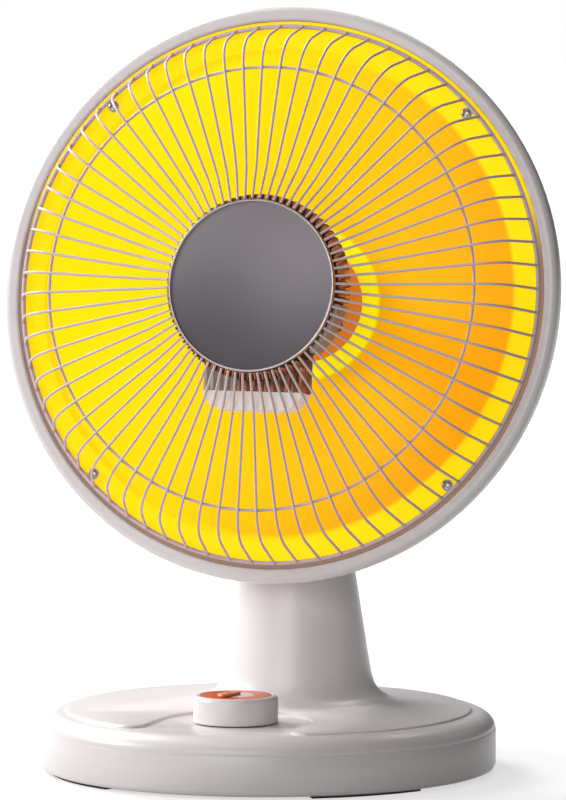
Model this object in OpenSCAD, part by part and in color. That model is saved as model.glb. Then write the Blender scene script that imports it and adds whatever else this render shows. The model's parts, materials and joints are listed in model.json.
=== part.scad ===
// Parabolic dish heater on a round base: a wire guard over a gilt reflector,
// a ribbed heating element behind a dark centre disc, and a tilting head.
// Millimetres. +Z is up, the heater faces -Y, and the origin is on the floor
// under the middle of the base.

/* [Head] */
// Upward pitch of the head at rest, in degrees
head_pitch = 10.1; // [9:0.1:12]
// Height of the middle of the guard's outer ring
ring_z = 236.6; // [234.6:0.5:250.6]
// Distance of that point behind the middle of the base
ring_y = 16.5; // [14.5:0.5:22.5]

/* [Shell] */
// Outer radius of the shell
shell_r = 144.5; // [143:0.5:146]
// Thickness of the shell
shell_wall = 2.5; // [2:0.1:3]
// Radius of the outer round of the bead at the shell's mouth
bead_r = 3.4; // [3.2:0.05:3.5]
// Width of the bead's front, from the shell's outside
bead_w = 7.1; // [6.9:0.1:7.3]
// Radius of the bead's inner round
bead_lip_r = 1.4; // [1.2:0.1:1.5]
// Depth of the shell behind the middle of its bead
shell_depth = 58.5; // [58:0.5:61]
// Fullness of the shell's outline, where 2 is an ellipse
shell_power = 2.8; // [2.4:0.1:3.2]
// Number of vent slots in the back of the shell
vent_count = 22; // [12:1:24]
// Width of a vent slot
vent_w = 4; // [2:0.5:5]
// Distance of a vent slot's inner end from the axis
vent_in_r = 58; // [54:1:64]
// Length of a vent slot
vent_len = 34; // [20:1:38]

/* [Reflector] */
// Thickness of the reflector's sheet
sheet = 0.8; // [0.5:0.1:1]
// Width from the shell's outside to the crease between the dish and its flange
flange_w = 23; // [21.5:0.5:26]
// Radius of the flat floor of the dish
floor_r = 38; // [37:0.5:42]
// Depth of the dish from its crease to its floor
dish_depth = 41.5; // [39.5:0.5:41.5]
// Set-back of the crease behind the flange
crease_drop = 2.4; // [1.5:0.1:3]

/* [Guard] */
// Distance of the outer ring's middle inside the shell's outside
guard_inset = 10; // [9.5:0.5:11]
// Thickness of the outer ring
outer_ring_d = 2.2; // [2:0.1:3]
// Thickness of the radial wires
wire_d = 1.4; // [1.3:0.1:2]
// Number of radial wires
wire_count = 72; // [36:4:72]
// Distance inside the outer ring of the corner where the wires turn inwards
shoulder_in = 10.4; // [9:0.2:12]
// Height of that corner in front of the outer ring
shoulder_h = 30; // [28:0.5:33]
// Radius of the bend at that corner
shoulder_bend = 20; // [12:0.5:20]
// Distance outside the disc of the corner where the wires turn towards it
crown_out = 17; // [13:0.5:20]
// Height of that corner in front of the outer ring
crown_h = 39; // [37:0.5:41]
// Radius of the bend at that corner
crown_bend = 6; // [4:0.5:10]
// Distance inside the shoulder at which the middle ring crosses behind the wires
middle_ring_in = 13.5; // [13.5:0.2:28]
// Thickness of the middle ring
middle_ring_d = 1.5; // [1.4:0.1:2.4]

/* [Centre disc] */
// Outer radius of the disc's pressed rim
disc_r = 43; // [42:0.1:45]
// Front face of the rim in front of the outer ring
disc_front = 46; // [45.5:0.5:48.5]
// Depth of the rim's skirt
skirt_h = 3.4; // [3:0.1:4]
// Thickness of the rim's metal
rim_wall = 0.6; // [0.6:0.1:0.8]
// Width of the rolled lip over the plate's edge
lip_w = 1.1; // [1.1:0.1:2]
// Thickness of the dark plate
plate_h = 1; // [0.8:0.1:1.4]

/* [Heating element] */
// Radius of the collar on the floor of the dish
collar_r = 30; // [30:0.5:34]
// Height of the collar
collar_h = 14; // [10:0.5:16]
// Radius of the ceramic stem
stem_r = 14; // [12:0.5:16]
// Radius of the ceramic drum
drum_r = 42.5; // [40:0.5:43]
// Back face of the drum in front of the outer ring
drum_back = 24.5; // [22.5:0.5:25]
// Thickness of the drum
drum_h = 15; // [14:0.5:15]
// Height of the ribbon's folds
fold_h = 3; // [2.6:0.1:3.6]
// Width of the ribbon, along the drum
ribbon_w = 9; // [6:0.5:10]
// Height of the ribbon's back edge above the drum's back
ribbon_lift = 3.5; // [2:0.5:4.5]
// Thickness of the ribbon
ribbon_t = 0.8; // [0.5:0.1:1]
// Angle from one fold to the next
fold_pitch = 5; // [4:0.5:6]
// Angle covered by the folded ribbon
ribbon_sweep = 315; // [300:5:315]
// Angle covered by the pale shoe that closes the ribbon
shoe_sweep = 36; // [30:1:38]
// Thickness of the shoe
shoe_t = 2.4; // [2:0.1:3.4]
// Half width of the foot under the drum
foot_half_w = 26.5; // [24:0.5:28]
// Distance of the foot's lower edge from the axis
foot_reach = 61; // [60:0.5:63]
// Height of the plain band along the foot's lower edge
foot_band = 9.4; // [8:0.2:10]
// Radius of the foot's lower corners
foot_corner = 12; // [10:0.5:14]
// Depth of the foot from back to front
foot_depth = 14.5; // [12:0.5:15]
// Number of fins on the foot
fin_count = 15; // [9:1:17]
// Thickness of a fin
fin_t = 1.3; // [1:0.1:1.6]

/* [Tilt joint] */
// Pivot's distance behind the middle of the base
pivot_y = 57; // [56:0.5:58]
// Pivot's height
pivot_z = 104; // [103:0.5:105]
// Radius of the pivot bolt
pivot_r = 3; // [2.5:0.1:3.5]
// Radial running clearance on the bolt
pivot_fit = 0.05; // [0.03:0.01:0.08]
// Half width of the tilt lug
lug_half_w = 9; // [8:0.5:10]
// Radius of the lug's eye
eye_r = 9; // [8:0.5:9.5]
// Gap between the lug and each cheek of the neck
cheek_gap = 0.4; // [0.3:0.05:0.6]
// Thickness of each cheek
cheek_t = 5; // [4:0.5:6]

/* [Neck] */
// Distance of the neck's axis behind the middle of the base
neck_y = 46.7; // [44:0.5:48]
// Radius of the neck at its foot, without the flare
neck_foot_r = 39.4; // [38.2:0.1:40.2]
// Loss of radius for each millimetre of height
neck_taper = 0.1545; // [0.14:0.005:0.16]
// Extra radius of the flare where it meets the base
flare_r = 7.6; // [6:0.2:9]
// Height over which the flare fades
flare_fade = 3.4; // [3:0.1:4]
// Height of the neck's flat top
neck_top = 112; // [111:0.5:113]
// Gap between the neck's top and the shell
neck_gap = 2; // [1.5:0.1:3]

/* [Base] */
// Radius of the base
base_r = 113.5; // [112:0.5:116]
// Height of the seam between tray and cover
seam_z = 21.3; // [20:0.1:24]
// Height of the cover's flat top in the bay
bay_z = 29.9; // [29:0.1:32]
// Rise of the raised plateau above the bay
plateau_rise = 1.3; // [1:0.1:2]
// Distance of the plateau's edge inside the base's outside
plateau_inset = 12; // [11.5:0.5:13.5]
// Half width of the bay round the knob
bay_half_w = 38; // [34:0.5:40]
// Radius of the plateau's corners beside the bay
horn_r = 8; // [4:0.5:10]
// Thickness of the tray and cover
base_wall = 2.5; // [2:0.1:3]
// Height of the feet below the tray
foot_h = 1.2; // [1:0.1:2]
// Distance of the middle of the feet inside the base's outside
foot_inset = 9.5; // [9.5:0.5:13]
// Width of the feet
foot_w = 11; // [8:0.5:12]
// Angle covered by each foot
foot_sweep = 32; // [24:1:40]
// Inner radius of the ballast ring
ballast_in_r = 70; // [69:0.5:74]
// Distance of the ballast ring's outside inside the base's outside
ballast_inset = 19.5; // [19.5:0.5:24]
// Thickness of the ballast ring
ballast_h = 12; // [8:0.5:13]

/* [Knob] */
// Distance of the knob in front of the middle of the base
knob_y = 52.4; // [47:0.2:53]
// Radius of the knob
knob_r = 21; // [20:0.1:23]
// Top of the knob above the floor
knob_top = 43.8; // [43:0.1:45]
// Gap under the knob
knob_gap = 0.6; // [0.4:0.1:1]
// Size of the chamfer round the knob's top
knob_chamfer = 2.2; // [1:0.1:2.6]
// Outer radius of the coloured ring
dial_r = 17.8; // [16:0.1:18]
// Radius of the white centre
dial_centre_r = 9.1; // [8:0.1:10]
// Angle of the pointer at rest, from the front towards the left
pointer_angle = 11; // [0:1:40]
// Reach of the pointer beyond the knob's middle
pointer_len = 14; // [12:0.5:17]
// Width of the pointer
pointer_w = 4.4; // [4:0.2:6]
// Height of the pointer
pointer_h = 1.4; // [1:0.2:3]
// Radius of the switch's shaft
shaft_r = 3; // [2.5:0.1:3.5]
// Half width of the switch's body
switch_half_w = 15; // [13:0.5:15]
// Height of the switch's body
switch_h = 17; // [14:0.5:18]

/* [Tip-over switch] */
// Place of the plunger, to the side of the middle of the base
tip_x = -45; // [-48:1:-42]
// Place of the plunger, behind the middle of the base
tip_y = -2; // [-6:1:6]
// Radius of the plunger's stem
plunger_r = 4; // [3:0.1:4.5]
// Travel of the plunger
plunger_travel = 4; // [3:0.1:4]
// Turns of the plunger's spring
spring_turns = 6; // [4:1:8]
// Thickness of the spring's wire
spring_wire = 0.9; // [0.6:0.1:1]

/* [Mains inlet] */
// Radius of the bore for the mains lead
lead_r = 3.6; // [3:0.1:4]
// Height of the inlet
gland_z = 10.5; // [10.2:0.1:10.6]

/* [Hidden] */

$fn = 96;
// Gap that parts of one assembly keep where they only touch
touch = 0.05;
// Overlap that makes one solid of two shapes
lap = 0.1;

// --- Colours
white = [0.93, 0.92, 0.91];
gilt = [1.0, 0.8, 0.05];
wire_grey = [0.8, 0.76, 0.76];
dark_grey = [0.4, 0.38, 0.4];
orange = [0.88, 0.41, 0.12];
brown = [0.5, 0.26, 0.16];
ceramic = [0.92, 0.9, 0.86];
steel = [0.7, 0.71, 0.73];
black = [0.1, 0.1, 0.1];
iron = [0.3, 0.3, 0.32];
brass = [0.8, 0.65, 0.3];

// --- Radii that follow the shell and the disc
guard_r = shell_r - guard_inset;
dish_r = shell_r - flange_w;
shoulder_r = guard_r - shoulder_in;
crown_r = disc_r + crown_out;
middle_ring_r = shoulder_r - middle_ring_in;

// --- Places along the head's axis, in front of the outer ring
bead_f = -outer_ring_d / 2 - 1.5;
bead_in_r = shell_r - bead_w;
flange_f = -outer_ring_d / 2 - touch;
crease_f = flange_f - crease_drop;
flange_in_r = dish_r + crease_drop;
flange_r = bead_in_r - 0.2;
floor_f = crease_f - dish_depth;
// Depth of the whole paraboloid, were its floor not flat
full_depth = dish_depth / (1 - pow(floor_r / dish_r, 2));
plate_t = 2;
plate_r = collar_r + 1;
plate_back = floor_f - sheet - plate_t;
shell_back = bead_f - shell_depth;
collar_front = floor_f + collar_h;
drum_front = drum_back + drum_h;
screw_circle = 24;
wire_hole_r = 6;

// --- Screws: a shank with a pan head
screw_r = 1.7;
screw_head_r = 3.4;
screw_head_h = 2.2;
pilot_fit = 0.02;
clear_r = screw_r + 0.3;

// --- Base levels
tray_z = foot_h;
tray_floor = tray_z + base_wall;
plateau_z = bay_z + plateau_rise;
roof_z = bay_z - base_wall;
cover_r = base_r - 0.3;
lip_depth = 4;
boss_circle = base_r - 13.5;
plateau_r = base_r - plateau_inset;
foot_mid_r = base_r - foot_inset;
ballast_out_r = base_r - ballast_inset;
boss_r = 4.5;

module pan_screw(shank, head_r = screw_head_r, head_h = screw_head_h, r = screw_r) {
  rotate_extrude() polygon([
    [0, -shank], [r, -shank], [r, 0], [head_r, 0],
    [head_r, head_h * 0.5], [head_r * 0.75, head_h * 0.9], [head_r * 0.4, head_h], [0, head_h]
  ]);
}

// Local frame of the head: x to the right, y up the ring's plane, z forward
module head_place()
  translate([0, ring_y, ring_z]) rotate([90 - head_pitch, 0, 0]) children();

// Points of the shell's outline from its mouth to its back, inset by a wall
function bowl(inset, steps) = [
  for (i = [0:steps]) let (a = 90 * i / steps)
    [(shell_r - inset) * pow(max(cos(a), 0), 2 / shell_power),
     bead_f - (shell_depth - inset) * sin(a)]
];

// The space inside the shell's outline, used to trim what lies against it
module bowl_solid(inset, steps = 24)
  rotate_extrude($fn = 128) polygon(concat([[0, bead_f]], bowl(inset, steps)));

// --- Shell
rib_t = 1.6;
module shell() {
  flange_boss_r = guard_screw_r - flange_in_r - touch;
  ledge_out_r = shell_r - shell_wall + 0.5;
  ledge_in_r = flange_r - 4;
  ledge_front = flange_f - sheet - touch;
  color(white) head_place() difference() {
    union() {
      rotate_extrude($fn = 160)
        polygon(concat(bowl(0, 24), [for (i = [24:-1:0]) bowl(shell_wall, 24)[i]]));
      rotate_extrude($fn = 160) hull() {
        translate([shell_r - bead_r, bead_f]) circle(bead_r, $fn = 40);
        translate([bead_in_r + bead_lip_r, bead_f + bead_r - bead_lip_r - 0.2]) circle(bead_lip_r, $fn = 32);
      }
      rotate_extrude($fn = 160) polygon([
        [ledge_in_r, ledge_front], [ledge_out_r, ledge_front],
        [ledge_out_r, ledge_front - 6], [ledge_in_r, ledge_front - 1.5]
      ]);
      intersection() {
        bowl_solid(shell_wall / 2);
        union() {
          for (a = [45:90:315]) rotate([0, 0, a]) translate([guard_screw_r, 0, ledge_front - 60]) {
            cylinder(h = 60, r = flange_boss_r);
            translate([screw_r + 0.5, -rib_t / 2, 0]) cube([20, rib_t, 60]);
          }
          for (a = [90:120:330]) rotate([0, 0, a])
            translate([screw_circle, 0, shell_back]) cylinder(h = plate_back - shell_back, r = boss_r);
        }
      }
    }
    for (a = [45:90:315]) rotate([0, 0, a])
      translate([guard_screw_r, 0, ledge_front - guard_screw_len]) cylinder(h = 60, r = screw_r + pilot_fit);
    for (a = [90:120:330]) rotate([0, 0, a])
      translate([screw_circle, 0, plate_back - 7]) cylinder(h = 20, r = screw_r + pilot_fit);
    for (i = [0:vent_count - 1]) let (a = -60 + 300 * i / (vent_count - 1))
      rotate([0, 0, a]) translate([vent_in_r, -vent_w / 2, shell_back - 5]) cube([vent_len, vent_w, 40]);
    for (x = lug_screw_x) for (y = lug_screw_y)
      translate([x, y, shell_back - 20]) cylinder(h = 60, r = clear_r);
    for (a = [0, 180]) rotate([0, 0, a])
      translate([cap_screw_r, 0, shell_back - 5]) cylinder(h = 20, r = screw_r + pilot_fit);
    translate([0, lead_exit_y, shell_back - 20]) cylinder(h = 60, r = 3);
  }
}

// --- Reflector
dish_steps = 18;
function dish_f(r) = crease_f - full_depth * (1 - pow(r / dish_r, 2));
dish_line = concat(
  [[wire_hole_r, floor_f]],
  [for (i = [0:dish_steps]) let (r = floor_r + (dish_r - floor_r) * i / dish_steps) [r, dish_f(r)]],
  [[flange_in_r, flange_f], [flange_r, flange_f]]
);

module reflector() color(gilt) head_place() difference() {
  rotate_extrude($fn = 160) polygon(concat(
    dish_line,
    [for (i = [len(dish_line) - 1:-1:0]) dish_line[i] - [0, sheet]]
  ));
  for (a = [45:90:315]) rotate([0, 0, a])
    translate([guard_screw_r, 0, flange_f - 2]) cylinder(h = 4, r = clear_r);
  for (a = [90:120:330]) rotate([0, 0, a])
    translate([screw_circle, 0, floor_f - 2]) cylinder(h = 4, r = clear_r);
}

// --- Guard: every radial wire is bent at its shoulder and at its crown
shoulder = [shoulder_r, shoulder_h];
crown = [crown_r, crown_h];
guard_head_r = 2.4;
guard_head_h = 1.6;
guard_screw_len = 12;
eyelet_r = 3;
eyelet_t = 0.6;
eyelet_top = flange_f + touch + eyelet_t;
wire_start = [guard_r, outer_ring_d / 2 + wire_d * 0.25];
guard_screw_r = guard_r - outer_ring_d / 2 - guard_head_r - 0.1;
wire_end = [disc_r + 0.4 + touch, disc_front - skirt_h / 2 + 0.6];

function unit(v) = v / norm(v);
function heading(v) = atan2(v[1], v[0]);
rise = unit(shoulder - wire_start);
brow = unit(crown - shoulder);
dive = unit(wire_end - crown);
brow_f = shoulder_h + (shoulder_r - middle_ring_r) * (crown_h - shoulder_h) / (shoulder_r - crown_r);
weld_drop = (wire_d + middle_ring_d) / 2 + touch;
middle_ring = [middle_ring_r - weld_drop * brow[1], brow_f + weld_drop * brow[0]];

module rod(a, b, d) {
  v = b - a;
  translate([a[0], 0, a[1]]) rotate([0, atan2(v[0], v[1]), 0]) cylinder(h = norm(v), d = d, $fn = 24);
}

function tangent(u, v, b) = b * tan(abs(heading(v) - heading(u)) / 2);

// Bend of radius b at corner k, between directions u and v
module bend(k, u, v, b, d) {
  turn = heading(v) - heading(u);
  normal = heading(u) + sign(turn) * 90;
  c = k - u * tangent(u, v, b) + b * [cos(normal), sin(normal)];
  translate([c[0], 0, c[1]]) rotate([90, 0, 0]) rotate([0, 0, normal + 180 + min(0, turn)])
    rotate_extrude(angle = abs(turn), $fn = 64) translate([b, 0]) circle(d = d, $fn = 24);
}

module radial_wire() {
  t1 = tangent(rise, brow, shoulder_bend) - lap;
  t2 = tangent(brow, dive, crown_bend) - lap;
  bend_d = wire_d - 0.02;
  rod(wire_start, shoulder - rise * t1, wire_d);
  bend(shoulder, rise, brow, shoulder_bend, bend_d);
  rod(shoulder + brow * t1, crown - brow * t2, wire_d);
  bend(crown, brow, dive, crown_bend, bend_d);
  rod(crown + dive * t2, wire_end, wire_d);
}

module guard_wires() color(wire_grey) head_place()
  for (i = [0:wire_count - 1]) rotate([0, 0, (i + 0.5) * 360 / wire_count]) radial_wire();

module guard_outer_ring() color(wire_grey) head_place()
  rotate_extrude($fn = 180) translate([guard_r, 0]) circle(d = outer_ring_d, $fn = 32);

module guard_middle_ring() color(wire_grey) head_place()
  rotate_extrude($fn = 180) translate(middle_ring) circle(d = middle_ring_d, $fn = 32);

// Eyelets welded to the outer ring, and the screws that hold them to the flange
module guard_eyelets() color(wire_grey) head_place() translate([0, 0, flange_f + touch])
  for (a = [45:90:315]) difference() {
    intersection() {
      rotate([0, 0, a]) translate([guard_screw_r, 0, 0]) cylinder(h = eyelet_t, r = eyelet_r);
      cylinder(h = eyelet_t, r = guard_r - outer_ring_d / 2, $fn = 180);
    }
    rotate([0, 0, a]) translate([guard_screw_r, 0, -1]) cylinder(h = 3, r = clear_r);
  }

module guard_screws() color(steel) head_place()
  for (a = [45:90:315]) rotate([0, 0, a])
    translate([guard_screw_r, 0, eyelet_top + touch]) pan_screw(guard_screw_len, guard_head_r, guard_head_h);

// --- Centre disc
module disc_rim() color(wire_grey) head_place() rotate_extrude($fn = 160) polygon([
  [disc_r - rim_wall, disc_front - skirt_h], [disc_r, disc_front - skirt_h],
  [disc_r, disc_front - 0.4], [disc_r - 0.15, disc_front - 0.1], [disc_r - 0.45, disc_front],
  [disc_r - lip_w, disc_front], [disc_r - lip_w, disc_front - rim_wall],
  [disc_r - rim_wall, disc_front - rim_wall]
]);

plate_front = disc_front - rim_wall - touch;
module centre_disc() color(dark_grey) head_place()
  translate([0, 0, plate_front - plate_h]) cylinder(h = plate_h, r = disc_r - rim_wall - touch, $fn = 160);

clip_h = 1;
module disc_clips() color(steel) head_place()
  for (a = [45:90:315]) rotate([0, 0, a]) intersection() {
    translate([disc_r - 8, -4, plate_front - plate_h - clip_h - touch]) cube([12, 8, clip_h]);
    translate([0, 0, disc_front - skirt_h]) cylinder(h = skirt_h, r = disc_r - rim_wall - touch);
  }

// --- Heating element
module support_plate() color(steel) head_place() difference() {
  translate([0, 0, plate_back]) cylinder(h = plate_t - touch, r = plate_r);
  translate([0, 0, plate_back - 1]) cylinder(h = plate_t + 2, r = wire_hole_r);
  for (a = [90:120:330]) rotate([0, 0, a])
    translate([screw_circle, 0, plate_back - 1]) cylinder(h = plate_t + 2, r = clear_r);
}

module element_collar() color(orange) head_place() difference() {
  rotate_extrude($fn = 128) polygon([
    [wire_hole_r, floor_f + touch], [collar_r, floor_f + touch], [collar_r, collar_front - 1.5],
    [collar_r - 1.5, collar_front], [wire_hole_r, collar_front]
  ]);
  for (a = [90:120:330]) rotate([0, 0, a]) translate([screw_circle, 0, floor_f]) {
    translate([0, 0, -1]) cylinder(h = collar_h + 2, r = clear_r);
    translate([0, 0, collar_h - 4]) cylinder(h = 5, r = screw_head_r + 0.4);
  }
}

module element_screws() color(steel) head_place()
  for (a = [90:120:330]) rotate([0, 0, a])
    translate([screw_circle, 0, collar_front - 4 + touch]) pan_screw(collar_h + plate_t + sheet + 2);

module element_stem() color(ceramic) head_place() difference() {
  translate([0, 0, collar_front + touch]) cylinder(h = drum_back - collar_front - 2 * touch, r = stem_r);
  translate([0, 0, collar_front - 1]) cylinder(h = drum_back - collar_front + 2, r = wire_hole_r);
}

module element_drum() color(ceramic) head_place() difference() {
  translate([0, 0, drum_back]) cylinder(h = drum_h, r = drum_r, $fn = 128);
  translate([0, 0, drum_back - 1]) cylinder(h = drum_h + 2, r = rod_r + 0.3);
}

rod_r = 2.5;
rod_nut_h = 2.4;
shield_t = 1;
module element_rod() color(steel) head_place() {
  translate([0, 0, plate_back - 4]) cylinder(h = drum_front + shield_t + 2.5 - plate_back + 4, r = rod_r);
  translate([0, 0, plate_back - rod_nut_h - touch]) cylinder(h = rod_nut_h, r = rod_r + 4.2, $fn = 6);
  translate([0, 0, drum_front + shield_t + 2 * touch]) cylinder(h = 2, r = rod_r + 2.2, $fn = 6);
}

module heat_shield() color(steel) head_place() difference() {
  translate([0, 0, drum_front + touch]) cylinder(h = shield_t, r = drum_r - 1);
  translate([0, 0, drum_front - 1]) cylinder(h = shield_t + 3, r = rod_r + 0.3);
}

// The ribbon is a square wave wrapped round the drum
ribbon_in_r = drum_r + touch;
ribbon_start = -8;
fold_count = floor(ribbon_sweep / fold_pitch);
function fold_wave(lift) = [
  for (i = [0:fold_count - 1]) for (s = [0:3]) let (
    a = ribbon_start + (i + [0, 0.12, 0.5, 0.62][s]) * fold_pitch,
    r = ribbon_in_r + ((s == 1 || s == 2) ? fold_h : 0) + lift
  ) [r * cos(a), r * sin(a)]
];
module heating_ribbon() color(brown) head_place() translate([0, 0, drum_back + ribbon_lift])
  linear_extrude(ribbon_w) polygon(concat(
    fold_wave(0),
    [for (i = [4 * fold_count - 1:-1:0]) fold_wave(ribbon_t)[i]]
  ));

fold_out_r = ribbon_in_r + fold_h + ribbon_t;
module ribbon_shoe() color(ceramic) head_place()
  rotate([0, 0, ribbon_start - 2 - shoe_sweep]) rotate_extrude(angle = shoe_sweep, $fn = 160)
    translate([ribbon_in_r, drum_back + 1]) square([shoe_t, drum_h - 1]);

// The foot hangs from a tongue behind the drum
foot_top = -(foot_reach - foot_band);
foot_back = drum_back - 4;
foot_front = foot_back + foot_depth;
module foot_outline() {
  corner_x = foot_half_w - foot_corner;
  translate([-corner_x, -foot_reach]) square([2 * corner_x, foot_reach]);
  translate([-foot_half_w, -foot_reach + foot_corner]) square([2 * foot_half_w, foot_reach]);
  for (x = [-corner_x, corner_x]) translate([x, -foot_reach + foot_corner]) circle(foot_corner);
}
module element_foot() color(ceramic) head_place() union() {
  translate([0, 0, foot_back]) linear_extrude(foot_depth) intersection() {
    foot_outline();
    translate([-100, -100]) square([200, 100 + foot_top]);
  }
  translate([0, 0, foot_back]) linear_extrude(drum_back - foot_back - 1 - touch) intersection() {
    foot_outline();
    translate([-100, -100]) square([200, 100 - stem_r - 4]);
  }
  translate([0, 0, foot_back]) linear_extrude(drum_back - foot_back - touch) intersection() {
    circle(drum_r - 2);
    translate([-18, -100]) square([36, 100 - stem_r - 4]);
  }
}
module foot_fins() color(brown) head_place()
  for (i = [0:fin_count - 1]) let (
    x = -foot_half_w + 2 + (2 * foot_half_w - 4) * i / (fin_count - 1),
    reach = max(abs(x - fin_t / 2), abs(x + fin_t / 2)),
    top = -sqrt(pow(fold_out_r + 0.3, 2) - pow(min(abs(x) < fin_t ? 0 : abs(x) - fin_t / 2, reach), 2))
  )
    translate([x - fin_t / 2, foot_top + touch, drum_back])
      cube([fin_t, max(1, top - foot_top - touch), foot_front - drum_back]);

// --- Behind the reflector
module thermal_cutout() color(black) head_place() rotate([0, 0, 150])
  translate([screw_circle, 0, plate_back - 7 - touch]) {
    cylinder(h = 7, r = 6.5);
    translate([-11, -1.5, 4]) cube([22, 3, 1]);
  }

module head_terminals() color(ceramic) head_place()
  translate([-9, -plate_r + 4, plate_back - 8 - touch]) difference() {
    cube([18, 9, 8]);
    for (x = [4.5, 13.5]) translate([x, 4.5, -1]) cylinder(h = 5, r = 1.8);
  }

// --- Tilt joint: the lug is bolted to the shell, its eye turns on the bolt
lug_top_z = pivot_z + 48;
lug_screw_x = [-5, 5];
lug_screw_y = [-100, -88];
lead_exit_y = -70;

function head_to_world(y, f) = [
  ring_y - f * cos(head_pitch) + y * sin(head_pitch),
  ring_z + f * sin(head_pitch) + y * cos(head_pitch)
];
// Depth of the shell's outer skin at a distance from the axis
function skin_f(r, inset = 0) =
  bead_f - (shell_depth - inset) * sqrt(1 - pow(r / (shell_r - inset), shell_power));
lug_low = head_to_world(-110, skin_f(110));
lug_high = head_to_world(-76, skin_f(76));

module tilt_lug() color(white) difference() {
  union() {
    translate([-lug_half_w, pivot_y, pivot_z]) rotate([0, 90, 0]) cylinder(h = 2 * lug_half_w, r = eye_r);
    translate([-lug_half_w, 0, 0]) rotate([90, 0, 90]) linear_extrude(2 * lug_half_w) polygon([
      [pivot_y - eye_r * 0.75, pivot_z + eye_r * 0.5], lug_low, lug_low + [0, 5],
      lug_high + [-6, 0], lug_high + [2, 0], lug_high + [3, -3], [pivot_y + eye_r * 0.95, pivot_z]
    ]);
  }
  head_place() bowl_solid(-touch);
  translate([-50, pivot_y, pivot_z]) rotate([0, 90, 0]) cylinder(h = 100, r = pivot_r + pivot_fit);
  head_place() for (x = lug_screw_x) for (y = lug_screw_y)
    translate([x, y, skin_f(abs(y)) - 9]) cylinder(h = 30, r = screw_r + pilot_fit);
}

module lug_screws() color(steel) head_place()
  for (x = lug_screw_x) for (y = lug_screw_y)
    translate([x, y, skin_f(norm([x, y]) + screw_head_r, shell_wall) + 0.8]) {
      pan_screw(11);
    }

// --- Rear cap over the wiring
cap_r = 36;
cap_h = 7;
cap_screw_r = 28;
module rear_cap() color(white) head_place() difference() {
  rotate_extrude($fn = 128) polygon([
    [0, shell_back - cap_h], [cap_r - 8, shell_back - cap_h], [cap_r - 3, shell_back - cap_h + 1.4],
    [cap_r - 0.5, shell_back - cap_h + 4], [cap_r, shell_back - 1.5], [cap_r, shell_back + 3], [0, shell_back + 3]
  ]);
  bowl_solid(-touch);
  rotate_extrude($fn = 128) polygon([
    [0, shell_back - cap_h + 2], [cap_screw_r - 6, shell_back - cap_h + 2],
    [cap_screw_r - 6, shell_back + 4], [0, shell_back + 4]
  ]);
  for (a = [0, 180]) rotate([0, 0, a]) translate([cap_screw_r, 0, shell_back - cap_h - 1]) {
    cylinder(h = 20, r = clear_r);
    cylinder(h = 4, r = screw_head_r + 0.4);
  }
}

module rear_cap_screws() color(steel) head_place()
  for (a = [0, 180]) rotate([0, 0, a])
    translate([cap_screw_r, 0, shell_back - cap_h + 3 - touch]) rotate([180, 0, 0]) pan_screw(7);

// --- Neck and top cover
neck_steps = [0, 0.6, 1.2, 2, 3, 4.2, 6, 8.5, 12, 18, 30, 50, 66];
function neck_r(z) = neck_foot_r - neck_taper * (z - plateau_z)
  + flare_r * exp(-(z - plateau_z) / flare_fade);
neck_rim = 1.5;
module neck_solid() translate([0, neck_y, 0]) rotate_extrude($fn = 128) polygon(concat(
  [[0, bay_z - 1], [neck_r(bay_z + 0.4), bay_z - 1]],
  [for (z = neck_steps) [neck_r(bay_z + 0.4 + z), bay_z + 0.4 + z]],
  [[neck_r(neck_top - neck_rim), neck_top - neck_rim],
   [neck_r(neck_top) - neck_rim * 0.3, neck_top - neck_rim * 0.3],
   [neck_r(neck_top) - neck_rim, neck_top], [0, neck_top]]
));

neck_roof = neck_top - 4;
module neck_hollow() difference() {
  translate([0, neck_y, 0]) rotate_extrude($fn = 96) polygon([
    [0, seam_z - lip_depth - 1], [neck_foot_r - base_wall, seam_z - lip_depth - 1],
    [neck_foot_r - base_wall, plateau_z],
    [neck_r(neck_roof) - base_wall, neck_roof], [0, neck_roof]
  ]);
  head_place() bowl_solid(-neck_gap - base_wall, 12);
  for (s = [-1, 1]) translate([s * (lug_half_w + cheek_gap + cheek_t / 2) - cheek_t / 2, 0, cheek_low])
    cube([cheek_t, 2 * neck_y, neck_top]);
}
cheek_low = pivot_z - 20;

// Room for the lug's eye and for the lug's swing to the back
slot_half_w = lug_half_w + cheek_gap;
module lug_slot() translate([-slot_half_w, 0, 0]) rotate([90, 0, 90]) linear_extrude(2 * slot_half_w) {
  translate([pivot_y, pivot_z]) circle(eye_r + 1, $fn = 64);
  polygon([
    [pivot_y - eye_r - 1, pivot_z], [pivot_y - eye_r - 1, neck_top + 20],
    [pivot_y + 60, neck_top + 20], [pivot_y + 60, pivot_z - 2], [pivot_y + eye_r + 1, pivot_z - 2]
  ]);
}

module bay_outline() {
  horn_x = bay_half_w + horn_r;
  horn_mid_r = plateau_r - horn_r;
  horn_y = -sqrt(horn_mid_r * horn_mid_r - horn_x * horn_x);
  outward = [horn_x, horn_y] / horn_mid_r;
  translate([0, -knob_y]) circle(bay_half_w, $fn = 128);
  translate([-bay_half_w, -base_r]) square([2 * bay_half_w, base_r - knob_y]);
  for (s = [-1, 1]) difference() {
    polygon([
      [s * (bay_half_w - 1), horn_y], [s * horn_x, horn_y],
      [s * outward[0] * (plateau_r + 2), outward[1] * (plateau_r + 2)], [s * (bay_half_w - 1), -base_r]
    ]);
    translate([s * horn_x, horn_y]) circle(horn_r, $fn = 48);
  }
}

module cover_dome(inset) {
  edge = cover_r - plateau_r;
  rotate_extrude($fn = 180) polygon(concat(
    [[0, seam_z], [cover_r - inset, seam_z]],
    [for (i = [1:12]) let (a = 90 * i / 12)
      [plateau_r + (edge - inset) * cos(a), seam_z + 0.6 + (bay_z - seam_z - 0.6 - inset) * sin(a)]],
    [[0, bay_z - inset]]
  ));
}

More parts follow.
